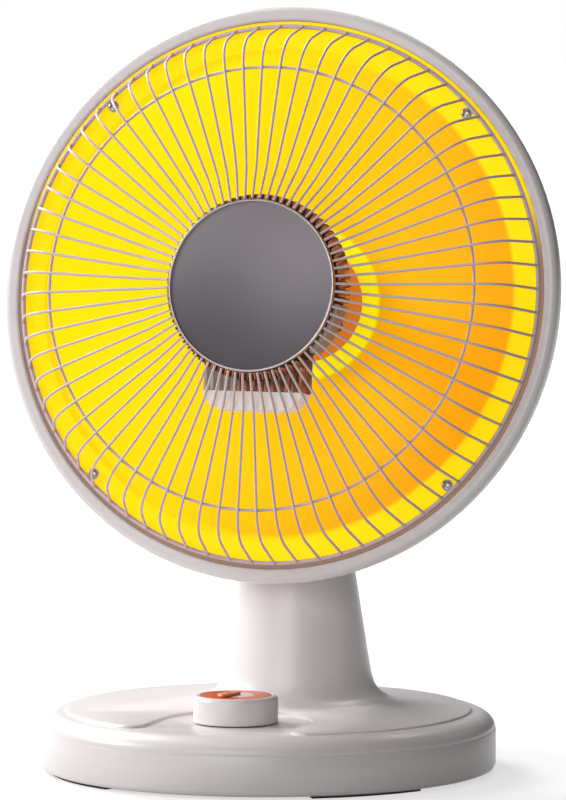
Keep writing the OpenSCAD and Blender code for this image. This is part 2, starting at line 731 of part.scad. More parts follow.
module plateau() difference() {
  rotate_extrude($fn = 180) polygon([
    [0, bay_z - 1], [plateau_r, bay_z - 1], [plateau_r, bay_z + plateau_rise * 0.2],
    [plateau_r - plateau_rise * 0.3, bay_z + plateau_rise * 0.7],
    [plateau_r - plateau_rise, plateau_z], [0, plateau_z]
  ]);
  translate([0, 0, bay_z]) linear_extrude(plateau_rise * 4) bay_outline();
}

module top_cover() color(white) {
  difference() {
    union() {
      difference() {
        union() {
          cover_dome(0);
          plateau();
        }
        cover_dome(base_wall);
        translate([0, 0, seam_z - 1]) cylinder(h = 1 + lap, r = cover_r - base_wall);
        translate([0, -knob_y, roof_z - 5]) cylinder(h = 20, r = bushing_r + 0.3);
      }
      difference() {
        neck_solid();
        head_place() bowl_solid(-neck_gap, 16);
      }
      translate([0, 0, seam_z - lip_depth]) difference() {
        cylinder(h = lip_depth + lap, r = cover_r - base_wall + lap);
        translate([0, 0, -1]) cylinder(h = lip_depth + 3, r = cover_r - base_wall - 2);
      }
      for (a = cover_screw_angles) rotate([0, 0, a]) translate([boss_circle, 0, tray_floor + touch])
        cylinder(h = roof_z - tray_floor, r = boss_r);
    }
    neck_hollow();
    lug_slot();
    for (a = cover_screw_angles) rotate([0, 0, a])
      translate([boss_circle, 0, tray_z]) cylinder(h = 14, r = screw_r + pilot_fit);
    translate([-50, pivot_y, pivot_z]) rotate([0, 90, 0]) cylinder(h = 100, r = pivot_r + pivot_fit);
    for (s = [-1, 1]) translate([s * cheek_out, pivot_y, pivot_z]) rotate([0, s * 90, 0])
      cylinder(h = 30, r = bolt_head_r + 0.6);
  }
}
cover_screw_angles = [20, 160, 200, 340];
cheek_out = lug_half_w + cheek_gap + cheek_t;
bolt_head_r = 5;
bolt_head_h = 4;
washer_t = 1;

module pivot_bolt() color(steel) translate([0, pivot_y, pivot_z]) rotate([0, 90, 0]) {
  translate([0, 0, -cheek_out - washer_t - 6]) cylinder(h = 2 * cheek_out + 2 * washer_t + 6, r = pivot_r);
  translate([0, 0, cheek_out + washer_t + touch]) cylinder(h = bolt_head_h, r = bolt_head_r);
  translate([0, 0, cheek_out + washer_t - lap]) cylinder(h = 1, r = pivot_r);
}

module pivot_nut() color(steel) translate([-cheek_out - washer_t - touch, pivot_y, pivot_z])
  rotate([0, -90, 0]) difference() {
    cylinder(h = 4.5, r = bolt_head_r, $fn = 6);
    translate([0, 0, -1]) cylinder(h = 7, r = pivot_r + pivot_fit, $fn = 48);
  }

module pivot_washers() color(steel)
  for (s = [-1, 1]) translate([s * (cheek_out + touch / 2), pivot_y, pivot_z]) rotate([0, s * 90, 0])
    difference() {
      cylinder(h = washer_t - touch / 2, r = bolt_head_r + 0.4);
      translate([0, 0, -1]) cylinder(h = washer_t + 2, r = pivot_r + pivot_fit);
    }

// --- Tray and what stands on it
ballast_screw_r = (ballast_in_r + ballast_out_r) / 2;
ballast_angles = [90 + 30, 210 + 30, 330 + 30];
module base_tray() color(white) difference() {
  rotate_extrude($fn = 180) polygon([
    [0, tray_z], [base_r - 3, tray_z], [base_r - 1, tray_z + 0.8], [base_r, tray_z + 3],
    [base_r, seam_z - touch], [base_r - base_wall, seam_z - touch],
    [base_r - base_wall, tray_floor + 1], [base_r - base_wall - 1, tray_floor], [0, tray_floor]
  ]);
  for (a = [45:90:315]) rotate([0, 0, a - foot_sweep / 2]) rotate_extrude(angle = foot_sweep, $fn = 180)
    translate([foot_mid_r - foot_w / 2 - touch, tray_z - 1]) square([foot_w + 2 * touch, 1 + foot_seat]);
  for (a = cover_screw_angles) rotate([0, 0, a]) translate([boss_circle, 0, tray_z - 1]) {
    cylinder(h = 10, r = clear_r);
    cylinder(h = 2.2, r = screw_head_r + 0.4);
  }
  for (a = ballast_angles) rotate([0, 0, a])
    translate([ballast_screw_r, 0, tray_floor - 1.6]) cylinder(h = 5, r = screw_r + pilot_fit);
  translate([tip_x, tip_y, 0]) cylinder(h = 10, r = plunger_r + 0.3);
  translate([0, base_r, gland_z]) rotate([90, 0, 0]) cylinder(h = 12, r = gland_r + touch);
  translate([-gland_flange - 1, base_r - base_wall + 1, gland_z - gland_flange - 1])
    cube([2 * gland_flange + 2, 10, 2 * gland_flange + 2]);
}
foot_seat = 0.5;

module rubber_feet() color(black)
  for (a = [45:90:315]) rotate([0, 0, a - foot_sweep / 2]) rotate_extrude(angle = foot_sweep, $fn = 180)
    translate([foot_mid_r - foot_w / 2, 0]) square([foot_w, tray_z + foot_seat - touch]);

lead_notch = 7;
module ballast_ring() color(iron) difference() {
  translate([0, 0, tray_floor + touch]) cylinder(h = ballast_h, r = ballast_out_r);
  translate([0, 0, 0]) cylinder(h = 40, r = ballast_in_r);
  for (a = ballast_angles) rotate([0, 0, a])
    translate([ballast_screw_r, 0, 0]) cylinder(h = 40, r = clear_r);
  translate([-lead_notch, 0, 0]) cube([2 * lead_notch, base_r, 40]);
}

module ballast_screws() color(steel)
  for (a = ballast_angles) rotate([0, 0, a])
    translate([ballast_screw_r, 0, tray_floor + ballast_h + 2 * touch]) pan_screw(ballast_h + 1.4);

module cover_screws() color(steel)
  for (a = cover_screw_angles) rotate([0, 0, a])
    translate([boss_circle, 0, tray_z + 1.2 - touch]) rotate([180, 0, 0]) pan_screw(11, head_h = 1.1);

// --- Rotary switch and knob
bushing_r = 4.8;
nut_h = 2.2;
switch_top = roof_z - touch;
module rotary_switch() color(black) translate([0, -knob_y, 0]) difference() {
  union() {
    translate([-switch_half_w, -switch_half_w, switch_top - switch_h])
      cube([2 * switch_half_w, 2 * switch_half_w, switch_h]);
    translate([0, 0, switch_top - 1]) cylinder(h = bay_z + nut_h + 0.8 - switch_top + 1, r = bushing_r);
  }
  translate([0, 0, switch_top - 10]) cylinder(h = 40, r = shaft_r + 0.05);
}

module switch_nut() color(steel) translate([0, -knob_y, bay_z + touch]) difference() {
  cylinder(h = nut_h, r = 8, $fn = 6);
  translate([0, 0, -1]) cylinder(h = nut_h + 2, r = bushing_r + touch, $fn = 48);
}

shaft_low = switch_top - 9;
shaft_top = knob_top - 3;
hub_r = 6;
module switch_shaft() color(brass) translate([0, -knob_y, 0]) intersection() {
  translate([0, 0, shaft_low]) cylinder(h = shaft_top - shaft_low, r = shaft_r, $fn = 64);
  union() {
    translate([-10, -10, 0]) cube([20, 20, shaft_flat_z]);
    translate([-10, -10, 0]) cube([20, 10 + shaft_r - 1, shaft_top]);
  }
}
shaft_flat_z = bay_z + nut_h + 1.6;

dial_drop = 0.6;
knob_wall = 2;
module knob() color(white) translate([0, -knob_y, 0]) difference() {
  rotate_extrude($fn = 128) polygon([
    [0, bay_z + knob_gap], [knob_r - 0.3, bay_z + knob_gap], [knob_r, bay_z + knob_gap + 0.4],
    [knob_r, knob_top - knob_chamfer],
    [knob_r - knob_chamfer * 0.12, knob_top - knob_chamfer * 0.55],
    [knob_r - knob_chamfer * 0.4, knob_top - knob_chamfer * 0.2],
    [knob_r - knob_chamfer, knob_top], [0, knob_top]
  ]);
  translate([0, 0, knob_top - dial_drop]) cylinder(h = 2, r = dial_r + touch);
  difference() {
    translate([0, 0, 0]) cylinder(h = knob_top - 2.4, r = knob_r - knob_wall);
    translate([0, 0, shaft_flat_z]) cylinder(h = 20, r = hub_r);
  }
  intersection() {
    cylinder(h = shaft_top + 0.3, r = shaft_r + 0.03, $fn = 64);
    translate([-10, -10, 0]) cube([20, 10 + shaft_r - 1 + 0.03, 60]);
  }
}

dial_h = dial_drop - touch;
module knob_ring() color(orange) translate([0, -knob_y, knob_top - dial_drop + touch]) difference() {
  cylinder(h = dial_h, r = dial_r, $fn = 128);
  translate([0, 0, -1]) cylinder(h = 3, r = dial_centre_r + touch);
}

module pointer_outline(grow) rotate([0, 0, -90 - pointer_angle]) {
  translate([-pointer_back, -pointer_w / 2 - grow]) square([pointer_back + pointer_len - pointer_w / 2, pointer_w + 2 * grow]);
  translate([pointer_len - pointer_w / 2, 0]) circle(pointer_w / 2 + grow, $fn = 48);
  translate([-pointer_back, 0]) circle(pointer_w / 2 + grow, $fn = 48);
}
pointer_back = 0.5;

module knob_centre() color(white) translate([0, -knob_y, knob_top - dial_drop + touch])
  cylinder(h = dial_h, r = dial_centre_r, $fn = 96);

module knob_pointer() color(orange) translate([0, -knob_y, knob_top + touch])
  linear_extrude(pointer_h) pointer_outline(0);

// --- Tip-over switch
housing_half = 10;
housing_top = 18;
flange_low = tray_floor + plunger_travel + 0.3;
flange_h = 2;
cavity_r = 7;
pin_r = 1.8;
pin_top = housing_top + 2.5;
module tip_switch_housing() color(black) translate([tip_x, tip_y, 0]) difference() {
  union() {
    translate([-housing_half, -housing_half, tray_floor + touch])
      cube([2 * housing_half, 2 * housing_half, housing_top - tray_floor]);
    for (s = [-1, 1]) translate([s * 8.5 - 1.5, -4, tray_floor + 1]) cube([3, 8, pin_top + 5 - tray_floor]);
  }
  translate([0, 0, 0]) cylinder(h = housing_top - 1.6, r = cavity_r);
  cylinder(h = 40, r = pin_r + 0.3);
}

module tip_plunger() color(white) translate([tip_x, tip_y, 0]) {
  cylinder(h = flange_low + lap, r = plunger_r);
  translate([0, 0, flange_low]) cylinder(h = flange_h, r = cavity_r - 0.4);
  translate([0, 0, flange_low + flange_h - lap]) cylinder(h = pin_top - flange_low - flange_h, r = pin_r);
}

// Faces of a closed tube made of rings of points
function tube_faces(rings, sides) = concat(
  [[for (s = [sides - 1:-1:0]) s]],
  [for (i = [0:rings - 2]) for (s = [0:sides - 1]) for (half = [0, 1])
    let (p = i * sides + s, q = i * sides + (s + 1) % sides)
      half == 0 ? [p, q + sides, p + sides] : [p, q, q + sides]],
  [[for (s = [0:sides - 1]) (rings - 1) * sides + s]]
);

// Helical tube with closed ends
function helix_point(t, turns, r, h) = [r * cos(360 * turns * t), r * sin(360 * turns * t), h * t];
module helix(turns, r, h, d, rings_per_turn = 12, sides = 6) {
  n = turns * rings_per_turn;
  slope = atan2(h, 360 * turns * r * PI / 180);
  points = [
    for (i = [0:n]) let (t = i / n, a = 360 * turns * t) for (s = [0:sides - 1])
      let (b = 360 * s / sides, out = cos(b) * d / 2, up = sin(b) * d / 2)
        helix_point(t, turns, r, h) + [
          out * cos(a) + up * sin(slope) * sin(a),
          out * sin(a) - up * sin(slope) * cos(a),
          up * cos(slope)
        ]
  ];
  polyhedron(points, tube_faces(n + 1, sides));
}
spring_low = flange_low + flange_h + spring_wire / 2 + touch;
spring_high = housing_top - 1.6 - spring_wire / 2 - touch;
module tip_spring() color(steel) translate([tip_x, tip_y, spring_low])
  helix(spring_turns, (cavity_r + pin_r) / 2, spring_high - spring_low, spring_wire);

module tip_microswitch() color(black) translate([tip_x - 6.9, tip_y - 3, pin_top + 0.2])
  cube([13.8, 6, 5]);

// --- Mains inlet and wiring
gland_r = 5.5;
gland_flange = 7;
gland_in = 10;
module cord_gland() color(black) translate([0, base_r - touch, gland_z]) rotate([90, 0, 0]) difference() {
  union() {
    cylinder(h = base_wall - 1 - touch, r = gland_flange);
    cylinder(h = gland_in, r = gland_r);
    translate([0, 0, base_wall + 1]) cylinder(h = 2, r = gland_r + 1);
  }
  translate([0, 0, -1]) cylinder(h = gland_in + 2, r = lead_r);
}

block = [30, 14, 11];
block_place = [30, 16, 0];
module terminal_block() color(white) translate(block_place + [0, 0, tray_floor + touch]) difference() {
  cube(block);
  for (i = [0:3]) translate([4.5 + 7 * i, block[1] / 2, 4]) cylinder(h = 20, r = 2);
}

// Smooth curve through a list of points
function ahead(p, i) = p[min(i + 1, len(p) - 1)] - p[max(i - 1, 0)];
function smooth(p, steps = 4) = concat(
  [for (i = [0:len(p) - 2]) for (k = [0:steps - 1]) let (
    t = k / steps, u = ahead(p, i) / 2, v = ahead(p, i + 1) / 2
  )
    p[i] * (2 * t * t * t - 3 * t * t + 1) + u * (t * t * t - 2 * t * t + t)
    + p[i + 1] * (3 * t * t - 2 * t * t * t) + v * (t * t * t - t * t)],
  [p[len(p) - 1]]
);

// A flexible lead: an eight-sided tube along a smooth curve
module lead(points, d, sides = 8) {
  p = smooth(points);
  n = len(p);
  rings = [for (i = [0:n - 1]) let (
    u = unit(ahead(p, i)),
    side = unit(cross(u, abs(u[0]) < 0.9 ? [1, 0, 0] : [0, 1, 0])),
    up = cross(side, u)
  ) for (s = [0:sides - 1]) p[i] + d / 2 * (cos(360 * s / sides) * side + sin(360 * s / sides) * up)];
  polyhedron(rings, tube_faces(n, sides));
}

module supply_leads() color(dark_grey) {
  lead([
    [0, base_r - gland_in - 2, gland_z], [0, 66, gland_z], [22, 48, 8],
    [block_place[0] + 8, block_place[1] + block[1] + 2.1, 8]
  ], 5);
  lead([
    [block_place[0] + 8, block_place[1] + 7, tray_floor + block[2] + 2.6], [24, 34, 34],
    [12, 46, 64], [0, neck_y, cheek_low - 2]
  ], 4);
}

lead_end_f = skin_f(-lead_exit_y, shell_wall) + 1;
module head_leads() color(dark_grey) head_place()
  lead([
    [0, -plate_r + 3.4, plate_back - 4], [0, -44, plate_back - 6], [0, lead_exit_y + 8, lead_end_f + 3],
    [0, lead_exit_y, lead_end_f]
  ], 3.4);

base_tray();
rubber_feet();
ballast_ring();
ballast_screws();
top_cover();
cover_screws();
rotary_switch();
switch_nut();
switch_shaft();
knob();
knob_ring();
knob_centre();
knob_pointer();
tip_switch_housing();
tip_plunger();
tip_spring();
tip_microswitch();
terminal_block();
cord_gland();
supply_leads();
pivot_bolt();
pivot_nut();
pivot_washers();
tilt_lug();
lug_screws();
shell();
rear_cap();
rear_cap_screws();
support_plate();
thermal_cutout();
head_terminals();
head_leads();
reflector();
element_collar();
element_screws();
element_stem();
element_rod();
element_drum();
heating_ribbon();
ribbon_shoe();
element_foot();
foot_fins();
heat_shield();
guard_outer_ring();
guard_middle_ring();
guard_wires();
guard_eyelets();
guard_screws();
disc_rim();
centre_disc();
disc_clips();
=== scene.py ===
"""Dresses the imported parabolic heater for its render.

The heater stands on the origin, faces -Y and has +X on its right-hand side for someone who looks at
its front. The head's own frame has x to the right, y up the plane of the guard's outer ring and z
forwards along the axis of the dish.
"""

import json
import logging
import math
from dataclasses import dataclass, field
from enum import Enum
from typing import Any, Sequence

import bmesh
import bpy
from mathutils import Euler, Matrix, Vector

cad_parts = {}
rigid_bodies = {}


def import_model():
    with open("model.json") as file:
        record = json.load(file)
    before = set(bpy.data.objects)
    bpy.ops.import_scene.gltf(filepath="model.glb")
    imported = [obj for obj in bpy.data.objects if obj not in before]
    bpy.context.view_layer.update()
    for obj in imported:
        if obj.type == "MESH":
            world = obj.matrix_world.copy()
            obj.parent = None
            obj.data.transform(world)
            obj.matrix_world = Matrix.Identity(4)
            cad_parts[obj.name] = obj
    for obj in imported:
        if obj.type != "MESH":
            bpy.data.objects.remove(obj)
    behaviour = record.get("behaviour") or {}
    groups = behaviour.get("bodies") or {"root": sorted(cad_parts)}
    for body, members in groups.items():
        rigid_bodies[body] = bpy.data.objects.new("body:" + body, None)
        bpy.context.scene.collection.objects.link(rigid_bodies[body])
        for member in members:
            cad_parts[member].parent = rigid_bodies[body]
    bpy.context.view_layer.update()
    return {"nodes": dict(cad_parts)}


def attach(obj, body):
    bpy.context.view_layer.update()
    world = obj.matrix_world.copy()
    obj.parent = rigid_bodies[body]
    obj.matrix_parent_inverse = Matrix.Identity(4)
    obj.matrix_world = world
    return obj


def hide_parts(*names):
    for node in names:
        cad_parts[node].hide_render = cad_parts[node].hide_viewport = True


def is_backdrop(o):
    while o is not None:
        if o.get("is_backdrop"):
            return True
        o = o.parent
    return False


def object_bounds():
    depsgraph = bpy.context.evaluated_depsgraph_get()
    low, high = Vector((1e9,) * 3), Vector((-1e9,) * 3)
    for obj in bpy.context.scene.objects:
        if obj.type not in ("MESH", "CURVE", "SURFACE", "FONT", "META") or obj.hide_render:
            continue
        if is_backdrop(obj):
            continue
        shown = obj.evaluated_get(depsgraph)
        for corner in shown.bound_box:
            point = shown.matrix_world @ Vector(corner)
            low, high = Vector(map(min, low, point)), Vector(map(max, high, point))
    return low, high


LOG = logging.getLogger("heater")
MM = 0.001
ROUND_STEPS = 192
MERGE_DISTANCE = 0.002 * MM
FLAT_ANGLE = math.radians(0.6)
SHARP_ANGLE = 32.0
WIRE_SIDES = 10
BEND_STEPS = 7
FOLD_LEAN = 0.12
WHITE_LIGHT = (1.0, 1.0, 1.0, 1.0)

Colour = tuple[float, float, float]
Point2 = tuple[float, float]
Socket = bpy.types.NodeSocket
Piece = bpy.types.Object


class Body(Enum):
    """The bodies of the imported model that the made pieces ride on."""

    BASE = "base"
    KNOB = "knob_body"
    HEAD = "head"


class Repeat(Enum):
    """The Geometry Nodes trees that make what repeats."""

    WIRE_FAN = "wire_fan"
    RING_OF_ITEMS = "ring_of_items"
    FOLDED_RIBBON = "folded_ribbon"
    FIN_ROW = "fin_row"


def linear(colour: Colour) -> tuple[float, float, float, float]:
    """Turns a display colour into the linear colour that a shader takes.

    Args:
        colour: Red, green and blue from 0 to 255, as they look on a screen.

    Returns:
        Linear red, green and blue with an alpha of 1.
    """
    parts = [c / 255 for c in colour]
    made = [p / 12.92 if p <= 0.04045 else ((p + 0.055) / 1.055) ** 2.4 for p in parts]
    return (made[0], made[1], made[2], 1.0)


class Graph:
    """A small helper that adds nodes to a node tree and links them."""

    def __init__(self, tree: bpy.types.NodeTree) -> None:
        """Keeps the tree that the nodes go into."""
        self.tree = tree

    def add(self, kind: str, inputs: dict[str | int, Any] | None = None, **settings: Any) -> bpy.types.Node:
        """Adds a node.

        Args:
            kind: The node's type name.
            inputs: Values or output sockets for its inputs, by name or number.
            **settings: The node's own properties.

        Returns:
            The new node.
        """
        node = self.tree.nodes.new(kind)
        for key, value in settings.items():
            setattr(node, key, value)
        for key, value in (inputs or {}).items():
            if isinstance(value, Socket):
                self.tree.links.new(value, node.inputs[key])
            else:
                node.inputs[key].default_value = value
        return node

    def out(self, kind: str, inputs: dict[str | int, Any] | None = None, **settings: Any) -> Socket:
        """Adds a node as add does and gives its first output."""
        return self.add(kind, inputs, **settings).outputs[0]

    def math(self, operation: str, *values: Any, clamp: bool = False) -> Socket:
        """Adds a Math node over numbers or sockets and returns its output."""
        return self.out("ShaderNodeMath", dict(enumerate(values)), operation=operation, use_clamp=clamp)

    def swept(self, curve: Socket, section: Socket) -> Socket:
        """Sweeps a section along a curve, with closed ends."""
        return self.out(
            "GeometryNodeCurveToMesh", {"Curve": curve, "Profile Curve": section, "Fill Caps": True}
        )

    def link_all(self, outputs: Sequence[Socket], node: bpy.types.Node) -> None:
        """Links outputs to a node's inputs in their order."""
        for output, target in zip(outputs, node.inputs):
            self.tree.links.new(output, target)

    def plus(self, first: Any, second: Any) -> Socket:
        """Adds two values."""
        return self.math("ADD", first, second)

    def minus(self, first: Any, second: Any) -> Socket:
        """Takes the second value from the first."""
        return self.math("SUBTRACT", first, second)

    def times(self, first: Any, second: Any) -> Socket:
        """Multiplies two values."""
        return self.math("MULTIPLY", first, second)

    def vector(self, x: Any, y: Any, z: Any) -> Socket:
        """Adds a Combine XYZ node and returns its output."""
        return self.out("ShaderNodeCombineXYZ", {0: x, 1: y, 2: z})

    def polar(self, radius: Any, angle: Any) -> Socket:
        """Gives the point at a radius and an angle in the xy plane."""
        x, y = (self.times(radius, self.math(wave, angle)) for wave in ("COSINE", "SINE"))
        return self.vector(x, y, 0.0)

    def mix(self, mask: Any, low: Any, high: Any) -> Socket:
        """Adds a colour mix and returns its output.

        Args:
            mask: Share of the second colour.
            low: First colour.
            high: Second colour.

        Returns:
            The mixed colour's socket.
        """
        node = self.add("ShaderNodeMix", {0: mask, 6: low, 7: high}, data_type="RGBA")
        return node.outputs[2]

    def smooth(self, value: Any, low: float, high: float) -> Socket:
        """Adds a smooth step from 0 at low to 1 at high and returns its output."""
        ends = {0: value, 1: low, 2: high, 3: 0.0, 4: 1.0}
        return self.out("ShaderNodeMapRange", ends, interpolation_type="SMOOTHSTEP")

    def seen(self, *rays: str) -> Socket:
        """Adds a switch for some kinds of rays.

        Args:
            *rays: Names of the kinds, as the Light Path node has them.

        Returns:
            A socket that is 1 for rays of these kinds and 0 for others.
        """
        path = self.add("ShaderNodeLightPath")
        found = path.outputs[rays[0]]
        for ray in rays[1:]:
            found = self.math("MAXIMUM", found, path.outputs[ray])
        return found

    def fall(self, value: Any, low: float, high: float) -> Socket:
        """Adds a smooth step from 1 at low to 0 at high and returns its output."""
        return self.minus(1.0, self.smooth(value, low, high))


def emptied(owner: bpy.types.Material | bpy.types.World) -> Graph:
    """Turns on the nodes and empties the tree.

    Args:
        owner: The material or the world.

    Returns:
        The graph of the empty tree.
    """
    owner.use_nodes = True
    owner.node_tree.nodes.clear()
    return Graph(owner.node_tree)


def sockets(kind: str, *labels: str) -> dict[str, str]:
    """Names sockets of one kind, such as Float, by their labels."""
    return {label: f"NodeSocket{kind}" for label in labels}


def shader_group(name: str, inputs: dict[str, str], outputs: dict[str, str]) -> tuple[Graph, Any, Any]:
    """Starts a shader node group.

    Args:
        name: The group's name.
        inputs: Names and socket types of its inputs.
        outputs: Names and socket types of its outputs.

    Returns:
        The graph, its input node and its output node.
    """
    tree = bpy.data.node_groups.new(name, "ShaderNodeTree")
    for label, kind in inputs.items():
        tree.interface.new_socket(label, in_out="INPUT", socket_type=kind)
    for label, kind in outputs.items():
        tree.interface.new_socket(label, in_out="OUTPUT", socket_type=kind)
    graph = Graph(tree)
    return graph, graph.add("NodeGroupInput"), graph.add("NodeGroupOutput")


def surface_grain() -> None:
    """Builds the group for the fine grain and slow mottling of every finish's colour and roughness."""
    graph, ins, outs = shader_group(
        "surface_grain",
        sockets("Vector", "Vector")
        | sockets("Color", "Colour")
        | sockets("Float", "Roughness", "Grain Scale", "Mottle", "Wear"),
        sockets("Color", "Colour") | sockets("Float", "Roughness", "Height"),
    )
    place, colour, roughness, scale, mottle, wear = ins.outputs[:6]
    fine_cells = {"Vector": place, "Scale": scale, "Detail": 2.0, "Roughness": 0.6}
    fine = graph.out("ShaderNodeTexNoise", fine_cells)
    slow = graph.out("ShaderNodeTexNoise", {"Vector": place, "Scale": 22.0, "Detail": 3.0})
    fine_shade = graph.times(graph.minus(fine, 0.5), 0.5)
    change = graph.plus(graph.minus(slow, 0.5), fine_shade)
    value = graph.plus(1.0, graph.times(change, mottle))
    tinted = graph.out("ShaderNodeHueSaturation", {"Value": value, "Color": colour})
    rough = graph.math("ADD", roughness, graph.times(change, wear), clamp=True)
    graph.link_all((tinted, rough, fine), outs)


def ring_measure() -> None:
    """Builds the group that gives a point's distance from the axis, and its place across and up it."""
    graph, ins, outs = shader_group(
        "ring_measure",
        sockets("Vector", "Vector"),
        sockets("Float", "Radius", "Across", "Up"),
    )
    parts = graph.add("ShaderNodeSeparateXYZ", {0: ins.outputs[0]})
    x, y = parts.outputs[:2]
    radius = graph.math("SQRT", graph.plus(graph.times(x, x), graph.times(y, y)))
    graph.link_all((radius, x, y), outs)


@dataclass(frozen=True)
class Finish:
    """A finish: one colour with grain, mottling, gloss and a little relief.

    Attributes:
        name: Name of the material.
        colour: Display colour, 0 to 255.
        roughness: Mean roughness.
        metallic: 1 for bare metal.
        coat: Weight of a clear coat.
        grain_scale: Cells of the fine grain in a metre.
        relief: Strength of the bump that the grain makes.
        relief_depth: Depth of that bump in metres.
        mottle: Change of brightness over the surface.
        wear: Change of roughness over the surface.
        painted_glow: Strength of painted light, an emission that only the camera sees.
        slot: The record's material slot, where it isn't the finish's name; not used.
    """

    name: str
    colour: Colour
    roughness: float
    metallic: float = 0.0
    coat: float = 0.0
    grain_scale: float = 1500.0
    relief: float = 0.1
    relief_depth: float = 0.0002
    mottle: float = 0.05
    wear: float = 0.1
    painted_glow: float = 0.0
    slot: str = ""

    def tint(self, graph: Graph, place: Socket) -> Socket | None:
        """Gives the colour where it isn't the same all over, or None."""
        return None

    def stretch(self) -> tuple[float, float, float]:
        """Gives the scale of the grain along x, y and z."""
        return (1.0, 1.0, 1.0)

    def turn(self) -> tuple[Vector, Euler]:
        """Gives the middle and the turn of the frame in which the finish is laid."""
        return Vector((0.0, 0.0, 0.0)), Euler((0.0, 0.0, 0.0))

    def build(self) -> bpy.types.Material:
        """Builds the material, once the shared groups are there.

        Returns:
            The material.
        """
        material = bpy.data.materials.new(self.name)
        graph = emptied(material)
        middle, turn = self.turn()
        coordinates = graph.add("ShaderNodeTexCoord")
        place = graph.out(
            "ShaderNodeMapping",
            {"Vector": coordinates.outputs["Object"], "Location": middle, "Rotation": turn},
            vector_type="TEXTURE",
        )
        grain_place = graph.out("ShaderNodeMapping", {"Vector": place, "Scale": self.stretch()})
        grain = graph.add(
            "ShaderNodeGroup",
            {
                "Vector": grain_place,
                "Colour": self.tint(graph, place) or linear(self.colour),
                "Roughness": self.roughness,
                "Grain Scale": self.grain_scale,
                "Mottle": self.mottle,
                "Wear": self.wear,
            },
            node_tree=bpy.data.node_groups["surface_grain"],
        )
        bump = graph.out(
            "ShaderNodeBump",
            {"Strength": self.relief, "Distance": self.relief_depth, "Height": grain.outputs["Height"]},
        )
        shader = graph.add(
            "ShaderNodeBsdfPrincipled",
            {
                "Base Color": grain.outputs["Colour"],
                "Roughness": grain.outputs["Roughness"],
                "Metallic": self.metallic,
                "Coat Weight": self.coat,
                "Coat Roughness": 0.15,
                "Normal": bump,
            },
        )
        # Painted light: this emission is seen by the camera only, so it brightens the surface's look and
        # lights nothing else.
        if self.painted_glow > 0:
            strength = graph.times(graph.seen("Is Camera Ray"), self.painted_glow)
            graph.tree.links.new(grain.outputs["Colour"], shader.inputs["Emission Color"])
            graph.tree.links.new(strength, shader.inputs["Emission Strength"])
        graph.add("ShaderNodeOutputMaterial", {"Surface": shader.outputs[0]})
        return material


@dataclass(frozen=True)
class HeadFinish(Finish):
    """A finish that is laid in the head's own frame."""

    def turn(self) -> tuple[Vector, Euler]:
        """Gives the head's middle and turn."""
        return HEAD.origin(), HEAD.turn()

    def measure(self, graph: Graph, place: Socket) -> bpy.types.Node:
        """Adds the group that measures a point in the head's frame."""
        return graph.add("ShaderNodeGroup", {0: place}, node_tree=bpy.data.node_groups["ring_measure"])


@dataclass(frozen=True)
class GiltSheet(HeadFinish):
    """Gilt reflector: yellow, with painted shade where the dish turns away from the light, a painted halo of
    light on its floor and painted shade on the flange's edge.

    Attributes:
        painted_shade_amber: Colour of the painted shade on the dish's far side.
        bright: Colour of the flange, and of the painted light on the top of its edge.
        painted_halo: Colour of the painted halo of light on the dish's floor.
        painted_edge_shade: Colour of the painted shade on the flange's edge, apart from its top.
        crease: Radius where the flange starts.
        floor: Radius of the dish's floor.
        edge: Radius where the flange's edge starts.
        across: How fast the painted shade grows to the right.
        down: How fast it grows downwards.
        spread: Half the width of the change from yellow to the painted shade.
        rim_low: Height on the flange's edge where its painted shade starts to fade.
        rim_high: Height where the painted shade has gone.
    """

    painted_shade_amber: Colour = (240, 161, 2)
    bright: Colour = (250, 212, 2)
    painted_halo: Colour = (255, 243, 12)
    painted_edge_shade: Colour = (150, 116, 102)
    crease: float = 121.2 * MM
    floor: float = 38.8 * MM
    edge: float = 134.8 * MM
    across: float = 0.95
    down: float = 0.3
    spread: float = 100 * MM
    rim_low: float = 20 * MM
    rim_high: float = 60 * MM

    def tint(self, graph: Graph, place: Socket) -> Socket:
        """Paints shade over the dish's far side, a halo of light on its floor and shade on the flange's edge
        below its top, and keeps the flange bright.

        Args:
            graph: The material's graph.
            place: The point in the head's frame.

        Returns:
            The colour's socket.
        """
        spot = self.measure(graph, place)
        radius, across, up = (spot.outputs[name] for name in ("Radius", "Across", "Up"))
        # Painted shade: the dish turns orange towards its right and its bottom, where it faces away from the
        # light.
        side = graph.minus(graph.times(across, self.across), graph.times(up, self.down))
        far = graph.smooth(side, -self.spread, self.spread)
        flange = graph.smooth(radius, self.crease - 2 * MM, self.crease + 1.6 * MM)
        # Painted light: a bright halo on the dish's floor round the collar, a painted reflection.
        floor = graph.fall(radius, self.floor - 1 * MM, self.floor + 1.2 * MM)
        dish = graph.mix(far, linear(self.colour), linear(self.painted_shade_amber))
        sheet = graph.mix(floor, graph.mix(flange, dish, linear(self.bright)), linear(self.painted_halo))
        # Painted shade on the flange's edge, which gives way to painted light towards its top.
        rim = graph.mix(graph.smooth(up, self.rim_low, self.rim_high), linear(self.painted_edge_shade), linear(self.bright))
        return graph.mix(graph.smooth(radius, self.edge - 0.6 * MM, self.edge + 0.8 * MM), sheet, rim)


